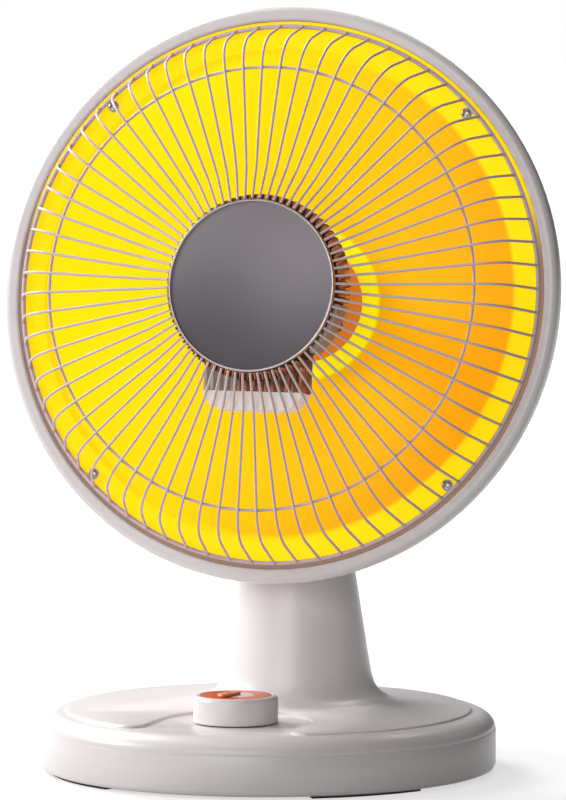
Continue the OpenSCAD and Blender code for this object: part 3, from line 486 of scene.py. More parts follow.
@dataclass(frozen=True)
class FiredRibbon(HeadFinish):
    """Heat-darkened ribbon with darker and lighter blocks in turn round the drum, painted shade and painted
    light.
    """

    # Colour of the lighter blocks, which are painted light.
    light_tone: Colour = (206, 122, 82)
    blocks: int = 72

    def tint(self, graph: Graph, place: Socket) -> Socket:
        """Paints lighter blocks between dark ones as painted light and shade, and varies them with noise.

        Args:
            graph: The material's graph.
            place: The point in the head's frame.

        Returns:
            The colour's socket.
        """
        spot = self.measure(graph, place)
        turn = graph.math("ARCTAN2", spot.outputs["Up"], spot.outputs["Across"])
        share = graph.math("FRACT", graph.times(turn, self.blocks / math.tau))
        # Painted shade and painted light: the dark blocks stand for the shade in the gaps, the lighter ones
        # for faces in the light.
        block = graph.times(graph.smooth(share, 0.06, 0.16), graph.fall(share, 0.5, 0.6))
        cells = graph.out("ShaderNodeTexNoise", {"Vector": place, "Scale": 160.0, "Detail": 1.0})
        mask = graph.times(block, graph.smooth(cells, 0.3, 0.6))
        return graph.mix(mask, linear(self.colour), linear(self.light_tone))


@dataclass(frozen=True)
class StreakedFinish(HeadFinish):
    """A finish of the element's foot, with upright streaks and another colour at its left end.

    Attributes:
        streaks: Cells of the streaks in a metre along x, y and z.
        detail: Detail of the streaks.
        left: Where the left end's colour starts to fade.
        right: Where it has gone.
        level: Height at which the colour changes from low to high.
    """

    streaks: tuple[float, float, float] = (330.0, 40.0, 200.0)
    detail: float = 1.0
    left: float = -18 * MM
    right: float = -3 * MM
    level: float = -51.6 * MM

    def cells(self, graph: Graph, place: Socket) -> Socket:
        """Adds the noise of the streaks."""
        long = graph.out("ShaderNodeMapping", {"Vector": place, "Scale": self.streaks})
        return graph.out("ShaderNodeTexNoise", {"Vector": long, "Scale": 1.0, "Detail": self.detail})

    def ends(self, graph: Graph, spot: bpy.types.Node, left: Any, right: Any) -> Socket:
        """Mixes the left end's colour into the right end's."""
        return graph.mix(graph.smooth(spot.outputs["Across"], self.left, self.right), left, right)


@dataclass(frozen=True)
class FiredFin(StreakedFinish):
    """Heat-stained fin: dark at its top, with orange lines lower down, and pale at the row's left end."""

    light_tone: Colour = (212, 138, 104)
    pale: Colour = (188, 170, 162)
    fade: float = 5.6 * MM

    def tint(self, graph: Graph, place: Socket) -> Socket:
        """Mixes the dark top into the stained lower part.

        Args:
            graph: The material's graph.
            place: The point in the head's frame.

        Returns:
            The colour's socket.
        """
        spot = self.measure(graph, place)
        lower = graph.fall(spot.outputs["Up"], self.level, self.level + self.fade)
        streaks = graph.smooth(self.cells(graph, place), 0.5, 0.7)
        mask = graph.math("MAXIMUM", graph.times(lower, 0.6), streaks)
        brown = graph.mix(mask, linear(self.colour), linear(self.light_tone))
        return self.ends(graph, spot, linear(self.pale), brown)


@dataclass(frozen=True)
class StainedCeramic(StreakedFinish):
    """Pale ceramic, fired brown above its band, with rust-coloured streaks across the band."""

    stain: Colour = (206, 150, 122)
    fired: Colour = (130, 84, 68)
    left_end_tone: Colour = (172, 146, 136)

    def tint(self, graph: Graph, place: Socket) -> Socket:
        """Lays faint upright streaks on the band and the fired colour above it.

        Args:
            graph: The material's graph.
            place: The point in the head's frame.

        Returns:
            The colour's socket.
        """
        mask = graph.times(graph.smooth(self.cells(graph, place), 0.55, 0.75), 0.35)
        pale = graph.mix(mask, linear(self.colour), linear(self.stain))
        spot = self.measure(graph, place)
        above = graph.smooth(spot.outputs["Up"], self.level - 0.4 * MM, self.level + 0.4 * MM)
        # The colour above the band is lighter towards its left end.
        burnt = self.ends(graph, spot, linear(self.left_end_tone), linear(self.fired))
        return graph.mix(above, pale, burnt)


@dataclass(frozen=True)
class DiscSheet(HeadFinish):
    """Satin dark sheet, darker towards its bottom and lighter towards its top as painted shade."""

    low: Colour = (80, 76, 81)
    radius: float = 43 * MM

    def tint(self, graph: Graph, place: Socket) -> Socket:
        """Paints shade on the sheet from bottom to top.

        Args:
            graph: The material's graph.
            place: The point in the head's frame.

        Returns:
            The colour's socket.
        """
        # Painted shade: dark at the bottom of the sheet, light at its top.
        up = self.measure(graph, place).outputs["Up"]
        return graph.mix(graph.smooth(up, -self.radius, self.radius), linear(self.low), linear(self.colour))


@dataclass(frozen=True)
class DrawnMetal(Finish):
    """Metal with fine lines along one direction."""

    def stretch(self) -> tuple[float, float, float]:
        """Stretches the grain along x."""
        return (0.06, 1.0, 1.0)


WHITE_PLASTIC = Finish(
    "white_plastic", (237, 232, 232), 0.36, coat=0.12, grain_scale=2600, mottle=0.02, wear=0.12
)
INNER_PLASTIC = Finish("inner_plastic", (222, 220, 214), 0.5, mottle=0.05)
BLACK_PLASTIC = Finish("black_plastic", (32, 32, 33), 0.45, mottle=0.1)
ORANGE_PLASTIC = Finish("orange_plastic", (226, 104, 30), 0.42, coat=0.1, mottle=0.05)
RUBBER = Finish("feet_rubber", (44, 44, 45), 0.8, grain_scale=900, relief=0.25, mottle=0.15)
IRON = Finish("ballast_iron", (74, 74, 77), 0.7, metallic=0.6, grain_scale=420, relief=0.6, mottle=0.35)
STEEL = DrawnMetal("plated_steel", (196, 190, 184), 0.34, metallic=0.9, grain_scale=3000, mottle=0.12)
BRASS = DrawnMetal("shaft_brass", (206, 172, 104), 0.32, metallic=0.95, mottle=0.1)
SLEEVE = Finish("lead_sleeve", (150, 148, 140), 0.75, grain_scale=1800, relief=0.5, mottle=0.2)
# Painted light: the reflector's emission is seen by the camera only, a painted brightness where the dish
# gathers light.
GILT = GiltSheet(
    "gilt_reflector", (252, 230, 3), 0.85, metallic=0.35, grain_scale=700, mottle=0.03, painted_glow=0.66
)
# Painted light: an emission seen by the camera only, standing in for the heated element's own light.
COLLAR = Finish("glowing_collar", (216, 124, 42), 0.5, mottle=0.08, painted_glow=0.58)
CERAMIC = Finish("element_ceramic", (206, 190, 184), 0.6, grain_scale=1400, relief=0.3, mottle=0.1)
# Painted light: a weak emission seen by the camera only, a painted highlight on the pale foot.
STAINED = StainedCeramic(
    "stained_ceramic", (238, 229, 225), 0.6, grain_scale=1400, relief=0.3, mottle=0.08, painted_glow=0.3,
    slot="element_ceramic", streaks=(420.0, 30.0, 60.0), detail=2.0,
)
# Painted light: a weak emission seen by the camera only, standing in for the heated drum's own light.
FIRED = Finish(
    "fired_ceramic", (66, 32, 24), 0.75, grain_scale=1200, relief=0.3, mottle=0.3, painted_glow=0.1,
    slot="element_ceramic",
)
# Painted light: an emission seen by the camera only, standing in for the heated ribbon's own light.
RIBBON = FiredRibbon("hot_ribbon", (92, 48, 34), 0.5, metallic=0.2, mottle=0.2, painted_glow=0.34)
# Painted light: a weak emission seen by the camera only, standing in for the heated fins' own light.
FIN = FiredFin(
    "fired_fins", (100, 62, 50), 0.55, metallic=0.1, mottle=0.2, painted_glow=0.3, slot="hot_ribbon"
)
WIRE = Finish("coated_wire", (222, 205, 202), 0.38, grain_scale=2200, relief=0.15, mottle=0.06)
DISC = DiscSheet("dark_disc", (148, 142, 147), 0.42, metallic=0.3, grain_scale=1800, mottle=0.04)
RIM = Finish(
    "disc_rim_metal", (188, 178, 178), 0.34, metallic=0.9, relief=0.01, mottle=0.04, wear=0.04,
    slot="coated_wire",
)
FINISHES = (
    WHITE_PLASTIC, INNER_PLASTIC, BLACK_PLASTIC, ORANGE_PLASTIC, RUBBER, IRON, STEEL, BRASS, SLEEVE,
    GILT, COLLAR, CERAMIC, STAINED, FIRED, RIBBON, FIN, WIRE, DISC, RIM,
)


def build_finishes() -> dict[str, bpy.types.Material]:
    """Builds the shared groups, then every finish.

    Returns:
        The materials by their finish's name.
    """
    surface_grain()
    ring_measure()
    return {finish.name: finish.build() for finish in FINISHES}


@dataclass(frozen=True)
class HeadFrame:
    """Place of the head's own frame at rest.

    Attributes:
        pitch: Upward pitch in degrees.
        ring_y: Distance of the guard ring's middle behind the middle of the base.
        ring_z: Height of that point.
    """

    pitch: float = 10.1
    ring_y: float = 16.5 * MM
    ring_z: float = 236.6 * MM

    def origin(self) -> Vector:
        """Gives the middle of the guard's outer ring."""
        return Vector((0.0, self.ring_y, self.ring_z))

    def turn(self) -> Euler:
        """Gives the turn from the head's frame to the object's."""
        return Euler((math.radians(90 - self.pitch), 0.0, 0.0))

    def matrix(self) -> Matrix:
        """Gives the placement from the head's frame to the object's."""
        return Matrix.Translation(self.origin()) @ self.turn().to_matrix().to_4x4()


HEAD = HeadFrame()


def link_mesh(name: str, mesh: bpy.types.Mesh) -> Piece:
    """Puts a mesh into the scene as an object at the origin.

    Args:
        name: The object's name.
        mesh: Its mesh.

    Returns:
        The object.
    """
    piece = bpy.data.objects.new(name, mesh)
    bpy.context.scene.collection.objects.link(piece)
    return piece


def point_at(name: str, data: bpy.types.ID, place: Vector, target: Vector) -> Piece:
    """Puts a camera or a light into the scene and points it at a target.

    Args:
        name: The object's name.
        data: The camera or the light.
        place: Where it stands.
        target: What it points at.

    Returns:
        The object.
    """
    piece = bpy.data.objects.new(name, data)
    bpy.context.scene.collection.objects.link(piece)
    piece.location = place
    piece.rotation_mode = "QUATERNION"
    piece.rotation_quaternion = (target - place).to_track_quat("-Z", "Y")
    return piece


def shade(mesh: bpy.types.Mesh, angle: float = SHARP_ANGLE) -> None:
    """Shades a mesh smooth, apart from its edges sharper than an angle in degrees."""
    mesh.shade_smooth()
    mesh.set_sharp_from_angle(angle=math.radians(angle))


def settle(piece: Piece) -> Piece:
    """Applies a piece's modifiers, so that it is a plain mesh.

    Args:
        piece: The object with live modifiers.

    Returns:
        The same object with the finished mesh.
    """
    evaluated = piece.evaluated_get(bpy.context.evaluated_depsgraph_get())
    mesh = bpy.data.meshes.new_from_object(evaluated)
    piece.modifiers.clear()
    old = piece.data
    piece.data = mesh
    mesh.name = piece.name
    bpy.data.meshes.remove(old)
    return piece


def revolve(
    name: str, profile: Sequence[Point2], steps: int, place: Matrix, closed: bool = True
) -> Piece:
    """Turns a profile round the z axis of a frame.

    Args:
        name: The piece's name.
        profile: Radius and height of each point, in metres. A point with no radius is a pole.
        steps: Segments round the axis.
        place: Placement of the frame.
        closed: Whether the last point joins the first.

    Returns:
        The piece, with its place in its mesh.
    """
    work = bmesh.new()
    rings: list[list[bmesh.types.BMVert]] = []
    for radius, height in profile:
        if radius == 0.0:
            rings.append([work.verts.new((0.0, 0.0, height))])
            continue
        turns = [math.tau * i / steps for i in range(steps)]
        rings.append([work.verts.new((radius * math.cos(a), radius * math.sin(a), height)) for a in turns])
    pairs = list(zip(rings, rings[1:]))
    if closed:
        pairs.append((rings[-1], rings[0]))
    for low, high in pairs:
        for i in range(steps):
            k = (i + 1) % steps
            corners = [low[i % len(low)], low[k % len(low)], high[k % len(high)], high[i % len(high)]]
            unique = list(dict.fromkeys(corners))
            if len(unique) > 2:
                work.faces.new(unique)
    bmesh.ops.recalc_face_normals(work, faces=work.faces)
    work.transform(place)
    mesh = bpy.data.meshes.new(name)
    work.to_mesh(mesh)
    work.free()
    shade(mesh)
    return link_mesh(name, mesh)


def arc_points(centre: Point2, radius: float, start: float, end: float, steps: int) -> list[Point2]:
    """Gives points along an arc.

    Args:
        centre: Middle of the arc.
        radius: Its radius.
        start: First angle in degrees.
        end: Last angle in degrees.
        steps: Number of segments.

    Returns:
        The points, both ends included.
    """
    angles = [math.radians(start + (end - start) * i / steps) for i in range(steps + 1)]
    return [(centre[0] + radius * math.cos(a), centre[1] + radius * math.sin(a)) for a in angles]


@dataclass
class GeometryTree:
    """A Geometry Nodes tree with named inputs, run once to make a plain mesh."""

    repeat: Repeat
    sockets: dict[str, str]

    def __post_init__(self) -> None:
        """Starts the tree with its inputs and its one geometry output."""
        self.tree = bpy.data.node_groups.new(self.repeat.value, "GeometryNodeTree")
        self.tree.interface.new_socket("Geometry", in_out="OUTPUT", socket_type="NodeSocketGeometry")
        self.ids: dict[str, str] = {}
        for label, kind in self.sockets.items():
            made = self.tree.interface.new_socket(label, in_out="INPUT", socket_type=kind)
            self.ids[label] = made.identifier
        self.graph = Graph(self.tree)
        self.inputs = self.graph.add("NodeGroupInput").outputs
        self.output = self.graph.add("NodeGroupOutput")

    def ring(self, item: Socket, radius: Any) -> Socket:
        """Sets copies of an item round the z axis, from the tree's inputs Count and First Angle.

        Args:
            item: The geometry that is repeated.
            radius: Distance of the copies from the axis.

        Returns:
            The copies, each turned by its own angle.
        """
        count = self.inputs["Count"]
        index = self.graph.out("GeometryNodeInputIndex")
        step = self.graph.math("DIVIDE", math.tau, count)
        angle = self.graph.plus(self.inputs["First Angle"], self.graph.times(index, step))
        spot = self.graph.polar(radius, angle)
        points = self.graph.out("GeometryNodePoints", {"Count": count, "Position": spot})
        turn = self.graph.vector(0.0, 0.0, angle)
        copies = {"Points": points, "Instance": item, "Rotation": turn}
        return self.graph.out("GeometryNodeInstanceOnPoints", copies)

    def end(self, geometry: Socket, smooth: bool = True) -> None:
        """Places, realizes and dresses the geometry, and links it to the output.

        Args:
            geometry: The finished geometry in its own frame.
            smooth: Whether its faces are shaded smooth.
        """
        out, ins = self.graph.out, self.inputs
        place = {"Geometry": geometry, "Translation": ins["Place"], "Rotation": ins["Turn"]}
        real = out("GeometryNodeRealizeInstances", {0: out("GeometryNodeTransform", place)})
        shaded = out("GeometryNodeSetShadeSmooth", {"Geometry": real, "Shade Smooth": smooth})
        dressed = out("GeometryNodeSetMaterial", {"Geometry": shaded, "Material": ins["Material"]})
        self.tree.links.new(dressed, self.output.inputs[0])

    def run(self, name: str, values: dict[str, Any]) -> Piece:
        """Runs the tree once.

        Args:
            name: Name of the piece.
            values: Values for the tree's inputs, by name.

        Returns:
            The piece as a plain mesh.
        """
        piece = link_mesh(name, bpy.data.meshes.new(name))
        modifier = piece.modifiers.new(self.repeat.value, "NODES")
        modifier.node_group = self.tree
        for label, value in values.items():
            modifier[self.ids[label]] = value
        piece.update_tag()
        return settle(piece)


PLACED = sockets("Vector", "Place", "Turn") | sockets("Material", "Material")


def wire_fan_tree() -> GeometryTree:
    """Builds the tree of bent wires that fan out round an axis.

    Returns:
        The tree.
    """
    tree = GeometryTree(
        Repeat.WIRE_FAN,
        sockets("Int", "Count")
        | sockets("Vector", "Start", "Shoulder", "Crown", "End")
        | sockets("Float", "First Angle", "Shoulder Bend", "Crown Bend", "Wire Radius")
        | PLACED,
    )
    graph, ins = tree.graph, tree.inputs
    corners = {f"Point {i}": ins[label] for i, label in enumerate(("Start", "Shoulder", "Crown", "End"), 1)}
    line = graph.out("GeometryNodeCurvePrimitiveQuadrilateral", corners, mode="POINTS")
    opened = graph.out("GeometryNodeSetSplineCyclic", {"Geometry": line, "Cyclic": False})
    index = graph.out("GeometryNodeInputIndex")
    is_crown = graph.math("COMPARE", index, 2.0, 0.1)
    bend = graph.plus(
        graph.times(is_crown, ins["Crown Bend"]),
        graph.times(graph.minus(1.0, is_crown), ins["Shoulder Bend"]),
    )
    rounded = {"Curve": opened, "Count": BEND_STEPS, "Radius": bend}
    fillet = graph.out("GeometryNodeFilletCurve", rounded, mode="POLY")
    circle = {"Resolution": WIRE_SIDES, "Radius": ins["Wire Radius"]}
    section = graph.out("GeometryNodeCurvePrimitiveCircle", circle)
    tree.end(tree.ring(graph.swept(fillet, section), 0.0))
    return tree


def ring_of_items_tree() -> GeometryTree:
    """Builds the tree that sets copies of one item round a ring.

    Returns:
        The tree.
    """
    tree = GeometryTree(
        Repeat.RING_OF_ITEMS,
        sockets("Object", "Item")
        | sockets("Int", "Count")
        | sockets("Float", "Radius", "First Angle")
        | PLACED,
    )
    item = tree.graph.add("GeometryNodeObjectInfo", {"Object": tree.inputs["Item"], "As Instance": True})
    tree.end(tree.ring(item.outputs["Geometry"], tree.inputs["Radius"]))
    return tree


def folded_ribbon_tree() -> GeometryTree:
    """Builds the tree of a ribbon that zigzags in square folds round a drum.

    Returns:
        The tree.
    """
    tree = GeometryTree(
        Repeat.FOLDED_RIBBON,
        sockets("Int", "Folds")
        | sockets("Float", "Fold Angle", "Start Angle", "Inner Radius", "Outer Radius", "Thickness", "Width")
        | PLACED,
    )
    graph, ins = tree.graph, tree.inputs
    count = graph.times(ins["Folds"], 4.0)
    line = graph.out("GeometryNodeMeshLine", {"Count": count, "Offset": (MM, 0.0, 0.0)})
    index = graph.out("GeometryNodeInputIndex")
    # A fold has four points: 0 in, 1 and 2 out, 3 in. The sheet leans a little between in and out.
    phase = graph.math("MODULO", index, 4.0)
    outer = graph.math("COMPARE", phase, 1.5, 0.6)
    second = graph.math("GREATER_THAN", phase, 1.5)
    fold = graph.math("FLOOR", graph.math("DIVIDE", index, 4.0))
    rise = graph.times(graph.math("GREATER_THAN", graph.math("MODULO", phase, 2.0), 0.5), FOLD_LEAN)
    turn = graph.plus(graph.plus(fold, graph.times(second, 0.5)), rise)
    angle = graph.plus(ins["Start Angle"], graph.times(turn, ins["Fold Angle"]))
    reach = graph.minus(ins["Outer Radius"], ins["Inner Radius"])
    radius = graph.plus(ins["Inner Radius"], graph.times(outer, reach))
    wave = {"Geometry": line, "Position": graph.polar(radius, angle)}
    curve = graph.out("GeometryNodeMeshToCurve", {0: graph.out("GeometryNodeSetPosition", wave)})
    upright = graph.out("GeometryNodeSetCurveNormal", {"Curve": curve}, mode="Z_UP")
    sides = {"Width": ins["Thickness"], "Height": ins["Width"]}
    section = graph.out("GeometryNodeCurvePrimitiveQuadrilateral", sides)
    tree.end(graph.swept(upright, section), smooth=False)
    return tree


def fin_row_tree() -> GeometryTree:
    """Builds the tree of upright fins whose tops follow a round drum above them.

    Returns:
        The tree.
    """
    tree = GeometryTree(
        Repeat.FIN_ROW,
        sockets("Int", "Count")
        | sockets("Float", "Half Width", "Foot Level", "Drum Radius", "Thickness", "Depth")
        | PLACED,
    )
    graph, ins = tree.graph, tree.inputs
    share = graph.math("DIVIDE", graph.out("GeometryNodeInputIndex"), graph.minus(ins["Count"], 1.0))
    width = graph.times(ins["Half Width"], 2.0)
    x = graph.minus(graph.times(share, width), ins["Half Width"])
    edge = graph.plus(graph.math("ABSOLUTE", x), graph.math("DIVIDE", ins["Thickness"], 2.0))
    squares = [graph.math("POWER", length, 2.0) for length in (ins["Drum Radius"], edge)]
    top = graph.times(graph.math("SQRT", graph.minus(*squares)), -1.0)
    height = graph.math("MAXIMUM", graph.minus(top, ins["Foot Level"]), MM)
    middle = graph.plus(ins["Foot Level"], graph.math("DIVIDE", height, 2.0))
    spot = graph.vector(x, middle, 0.0)
    points = graph.out("GeometryNodePoints", {"Count": ins["Count"], "Position": spot})
    size = graph.vector(ins["Thickness"], 1.0, ins["Depth"])
    block = graph.out(
        "GeometryNodeMeshCube", {"Size": size, "Vertices X": 2, "Vertices Y": 4, "Vertices Z": 3}
    )
    row = {"Points": points, "Instance": block, "Scale": graph.vector(1.0, height, 1.0)}
    tree.end(graph.out("GeometryNodeInstanceOnPoints", row), smooth=False)
    return tree


@dataclass(frozen=True)
class Softened:
    """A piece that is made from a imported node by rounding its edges.

    Attributes:
        name: The piece's name.
        node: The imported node.
        finish: The piece's finish.
        edge: Width of the rounding.
        angle: Edges sharper than this are rounded, in degrees.
    """

    name: str
    node: str
    finish: Finish
    edge: float
    angle: float = SHARP_ANGLE


@dataclass
class Workshop:
    """What every sub-assembly needs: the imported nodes, the finishes and the repeat trees."""

    nodes: dict[str, Piece]
    materials: dict[str, bpy.types.Material]
    trees: dict[Repeat, GeometryTree] = field(default_factory=dict)

    def prepare(self) -> None:
        """Builds the Geometry Nodes trees."""
        for make in (wire_fan_tree, ring_of_items_tree, folded_ribbon_tree, fin_row_tree):
            tree = make()
            self.trees[tree.repeat] = tree

    def dress(self, piece: Piece, finish: Finish) -> None:
        """Gives a piece one finish."""
        piece.data.materials.clear()
        piece.data.materials.append(self.materials[finish.name])

    def add(self, piece: Piece, finish: Finish, body: Body, node: str) -> None:
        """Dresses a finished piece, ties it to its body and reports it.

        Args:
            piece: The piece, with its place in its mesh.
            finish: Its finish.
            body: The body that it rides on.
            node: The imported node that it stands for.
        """
        self.dress(piece, finish)
        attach(piece, body.value)
        finish.slot or finish.name
        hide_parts(node)
        LOG.info("%s rides on %s, %d faces", piece.name, body.value, len(piece.data.polygons))

    def soften(self, row: Softened, body: Body) -> None:
        """Replaces a node by a copy with merged faces, rounded edges and smooth shading.

        Args:
            row: What is made, and from which node.
            body: The body that it rides on.
        """
        mesh = self.nodes[row.node].data.copy()
        mesh.name = row.name
        work = bmesh.new()
        work.from_mesh(mesh)
        bmesh.ops.remove_doubles(work, verts=work.verts, dist=MERGE_DISTANCE)
        bmesh.ops.dissolve_limit(
            work, angle_limit=FLAT_ANGLE, verts=work.verts, edges=work.edges, use_dissolve_boundaries=False
        )
        work.to_mesh(mesh)
        work.free()
        piece = link_mesh(row.name, mesh)
        bevel = piece.modifiers.new("edges", "BEVEL")
        bevel.width = row.edge
        bevel.segments = 2
        bevel.limit_method = "ANGLE"
        bevel.angle_limit = math.radians(row.angle)
        bevel.use_clamp_overlap = True
        bevel.miter_outer = "MITER_ARC"
        settle(piece)
        shade(piece.data, row.angle)
        self.add(piece, row.finish, body, row.node)

    def grow(
        self,
        tree: Repeat,
        name: str,
        node: str,
        finish: Finish,
        level: float,
        angle: float,
        values: dict[str, Any],
    ) -> None:
        """Makes a piece of the head with a repeat tree.

        Args:
            tree: The tree.
            name: The new piece's name.
            node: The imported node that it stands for.
            finish: Its finish.
            level: Place of the tree's plane along the head's axis.
            angle: Edges sharper than this stay sharp, in degrees, or 0 for flat faces.
            values: Values for the tree's own inputs.
        """
        placed = {
            "Place": tuple(HEAD.matrix() @ Vector((0.0, 0.0, level))),
            "Turn": tuple(HEAD.turn()),
            "Material": self.materials[finish.name],
        }
        piece = self.trees[tree].run(name, values | placed)
        if angle > 0:
            shade(piece.data, angle)
        self.add(piece, finish, Body.HEAD, node)

    def finish_node(self, node: str, finish: Finish) -> None:
        """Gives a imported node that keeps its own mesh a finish."""
        self.dress(self.nodes[node], finish)
        LOG.info("%s keeps its packed mesh", node)


Packed = tuple[Finish, tuple[str, ...]]


@dataclass
class SubAssembly:
    """A group of pieces that ride on one body.

    Attributes:
        body: The body.
        softened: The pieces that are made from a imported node.
        packed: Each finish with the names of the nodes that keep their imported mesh.
    """

    body: Body = Body.HEAD
    softened: tuple[Softened, ...] = ()
    packed: tuple[Packed, ...] = ()

    def build(self, shop: Workshop) -> None:
        """Makes the softened pieces and dresses the nodes that keep their mesh.

        Args:
            shop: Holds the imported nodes, the finishes and the trees.
        """
        for row in self.softened:
            shop.soften(row, self.body)
        for finish, nodes in self.packed:
            for node in nodes:
                shop.finish_node(node, finish)


@dataclass
class ScrewHead:
    """A pan-head screw with a cross recess.

    Attributes:
        radius: Radius of the head.
        height: Height of the head.
        shank: Length of the shank.
        shank_radius: Radius of the shank.
        wall: Share of the head's height below its dome.
        flat: Radius of its flat top, as a share of the head's.
        slot_half: Half the width of the recess, as a share of the head's radius.
        slot_reach: Reach of the recess, as a share of the head's radius.
        slot_depth: Depth of the recess, as a share of the head's height.
        sides: Segments round the axis.
        dome_steps: Segments of the dome's curve.
    """

    radius: float
    height: float
    shank: float
    shank_radius: float = 1.7 * MM
    wall: float = 0.45
    flat: float = 0.12
    slot_half: float = 0.13
    slot_reach: float = 0.62
    slot_depth: float = 0.45
    sides: int = 48
    dome_steps: int = 7

    def build(self, name: str) -> Piece:
        """Builds the screw along z with its seat at z = 0.

        Args:
            name: The object's name.

        Returns:
            The screw, which isn't dressed yet.
        """
        angles = [math.radians(90 - 90 * i / self.dome_steps) for i in range(self.dome_steps)]
        dome = [
            (self.radius * math.sin(a), self.height * (self.wall + (1 - self.wall) * math.cos(a)))
            for a in angles
        ]
        profile = [
            (0.0, -self.shank), (self.shank_radius, -self.shank), (self.shank_radius, 0.0),
            (self.radius, 0.0), *dome, (self.radius * self.flat, self.height), (0.0, self.height),
        ]
        piece = revolve(name, profile, self.sides, Matrix.Identity(4), closed=False)
        half, reach = self.radius * self.slot_half, self.radius * self.slot_reach
        for vertex in piece.data.vertices:
            x, y = abs(vertex.co.x), abs(vertex.co.y)
            if vertex.co.z >= self.height / 2 and min(x, y) < half and max(x, y) < reach:
                vertex.co.z -= self.height * self.slot_depth
        return piece


@dataclass
class BaseUnit(SubAssembly):
    """The round base: tray, feet, cover with its neck, and what is screwed in under them."""

    body: Body = Body.BASE
    softened: tuple[Softened, ...] = (
        Softened("base_tray_shell", "base_tray", WHITE_PLASTIC, 0.5 * MM),
        Softened("base_cover_and_neck", "top_cover", WHITE_PLASTIC, 0.35 * MM),
        Softened("floor_feet", "rubber_feet", RUBBER, 0.3 * MM),
        Softened("inlet_gland", "cord_gland", RUBBER, 0.3 * MM),
        Softened("tilt_bolt", "pivot_bolt", STEEL, 0.2 * MM),
        Softened("tilt_nut", "pivot_nut", STEEL, 0.15 * MM),
    )
    packed: tuple[Packed, ...] = (
        (IRON, ("ballast_ring",)),
        (STEEL, ("ballast_screws", "cover_screws", "switch_nut", "tip_spring", "pivot_washers")),
        (BLACK_PLASTIC, ("rotary_switch", "tip_switch_housing", "tip_microswitch")),
        (INNER_PLASTIC, ("terminal_block", "tip_plunger")),
        (SLEEVE, ("supply_leads",)),
    )


@dataclass
class DialKnob(SubAssembly):
    """The rotary knob with its coloured ring and pointer."""

    body: Body = Body.KNOB
    softened: tuple[Softened, ...] = (
        Softened("dial_knob", "knob", WHITE_PLASTIC, 0.4 * MM),
        Softened("dial_ring", "knob_ring", ORANGE_PLASTIC, 0.1 * MM),
        Softened("dial_centre", "knob_centre", WHITE_PLASTIC, 0.1 * MM),
        Softened("dial_pointer", "knob_pointer", ORANGE_PLASTIC, 0.7 * MM),
    )
    packed: tuple[Packed, ...] = ((BRASS, ("switch_shaft",)),)


@dataclass
class HeadHousing(SubAssembly):
    """The shell behind the dish, its cap and the lug that carries it, with what is inside."""

    softened: tuple[Softened, ...] = (
        Softened("bowl_shell", "shell", WHITE_PLASTIC, 0.25 * MM, 40),
        Softened("back_cap", "rear_cap", WHITE_PLASTIC, 0.4 * MM),
        Softened("tilt_lug_arm", "tilt_lug", WHITE_PLASTIC, 0.5 * MM),
        Softened("back_cap_screws", "rear_cap_screws", STEEL, 0.15 * MM),
    )
    packed: tuple[Packed, ...] = (
        (STEEL, ("lug_screws", "support_plate")),
        (BLACK_PLASTIC, ("thermal_cutout",)),
        (CERAMIC, ("head_terminals",)),
        (SLEEVE, ("head_leads",)),
    )


@dataclass
class DishReflector(SubAssembly):
    """The gilt dish with its flange.

    Attributes:
        dish_radius: Radius of the crease between dish and flange.
        floor_radius: Radius of the flat floor.
        depth: Depth from crease to floor.
        flange_level: Front of the flange, along the head's axis.
        flange_radius: Outer radius of the flange.
        drop: Set-back of the crease behind the flange.
        sheet: Thickness of the sheet.
        hole: Radius of the hole for the leads.
        bend: Size of the small bends at the floor and the crease.
        steps: Segments of the dish's curve.
    """

    dish_radius: float = 121.5 * MM
    floor_radius: float = 38 * MM
    depth: float = 41.5 * MM
    flange_level: float = -1.15 * MM
    flange_radius: float = 137.2 * MM
    drop: float = 2.4 * MM
    sheet: float = 0.8 * MM
    hole: float = 6 * MM
    bend: float = 0.6 * MM
    steps: int = 36

    def front(self) -> list[Point2]:
        """Draws the sheet's front.

        Returns:
            The profile, from the hole to the flange's rim.
        """
        crease = self.flange_level - self.drop
        full = self.depth / (1 - (self.floor_radius / self.dish_radius) ** 2)
        line = [(self.hole, crease - self.depth), (self.floor_radius - self.bend, crease - self.depth)]
        width = self.dish_radius - 0.5 * MM - self.floor_radius
        for i in range(self.steps + 1):
            radius = self.floor_radius + width * i / self.steps
            line.append((radius, crease - full * (1 - (radius / self.dish_radius) ** 2)))
        line += [
            (self.dish_radius + self.bend, crease + 0.3 * MM),
            (self.dish_radius + self.drop - 0.5 * MM, self.flange_level - 0.3 * MM),
            (self.dish_radius + self.drop + 0.1 * MM, self.flange_level),
            (self.flange_radius - 0.3 * MM, self.flange_level),
        ]
        return line

    def build(self, shop: Workshop) -> None:
        """Makes the reflector.

        Args:
            shop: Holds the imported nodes, the finishes and the trees.
        """
        front = self.front()
        back = [(r, f - self.sheet) for r, f in reversed(front)]
        edge = [(self.flange_radius, self.flange_level - self.sheet / 2)]
        piece = revolve("gilt_dish", front + edge + back, ROUND_STEPS, HEAD.matrix())
        shop.add(piece, GILT, self.body, "reflector")


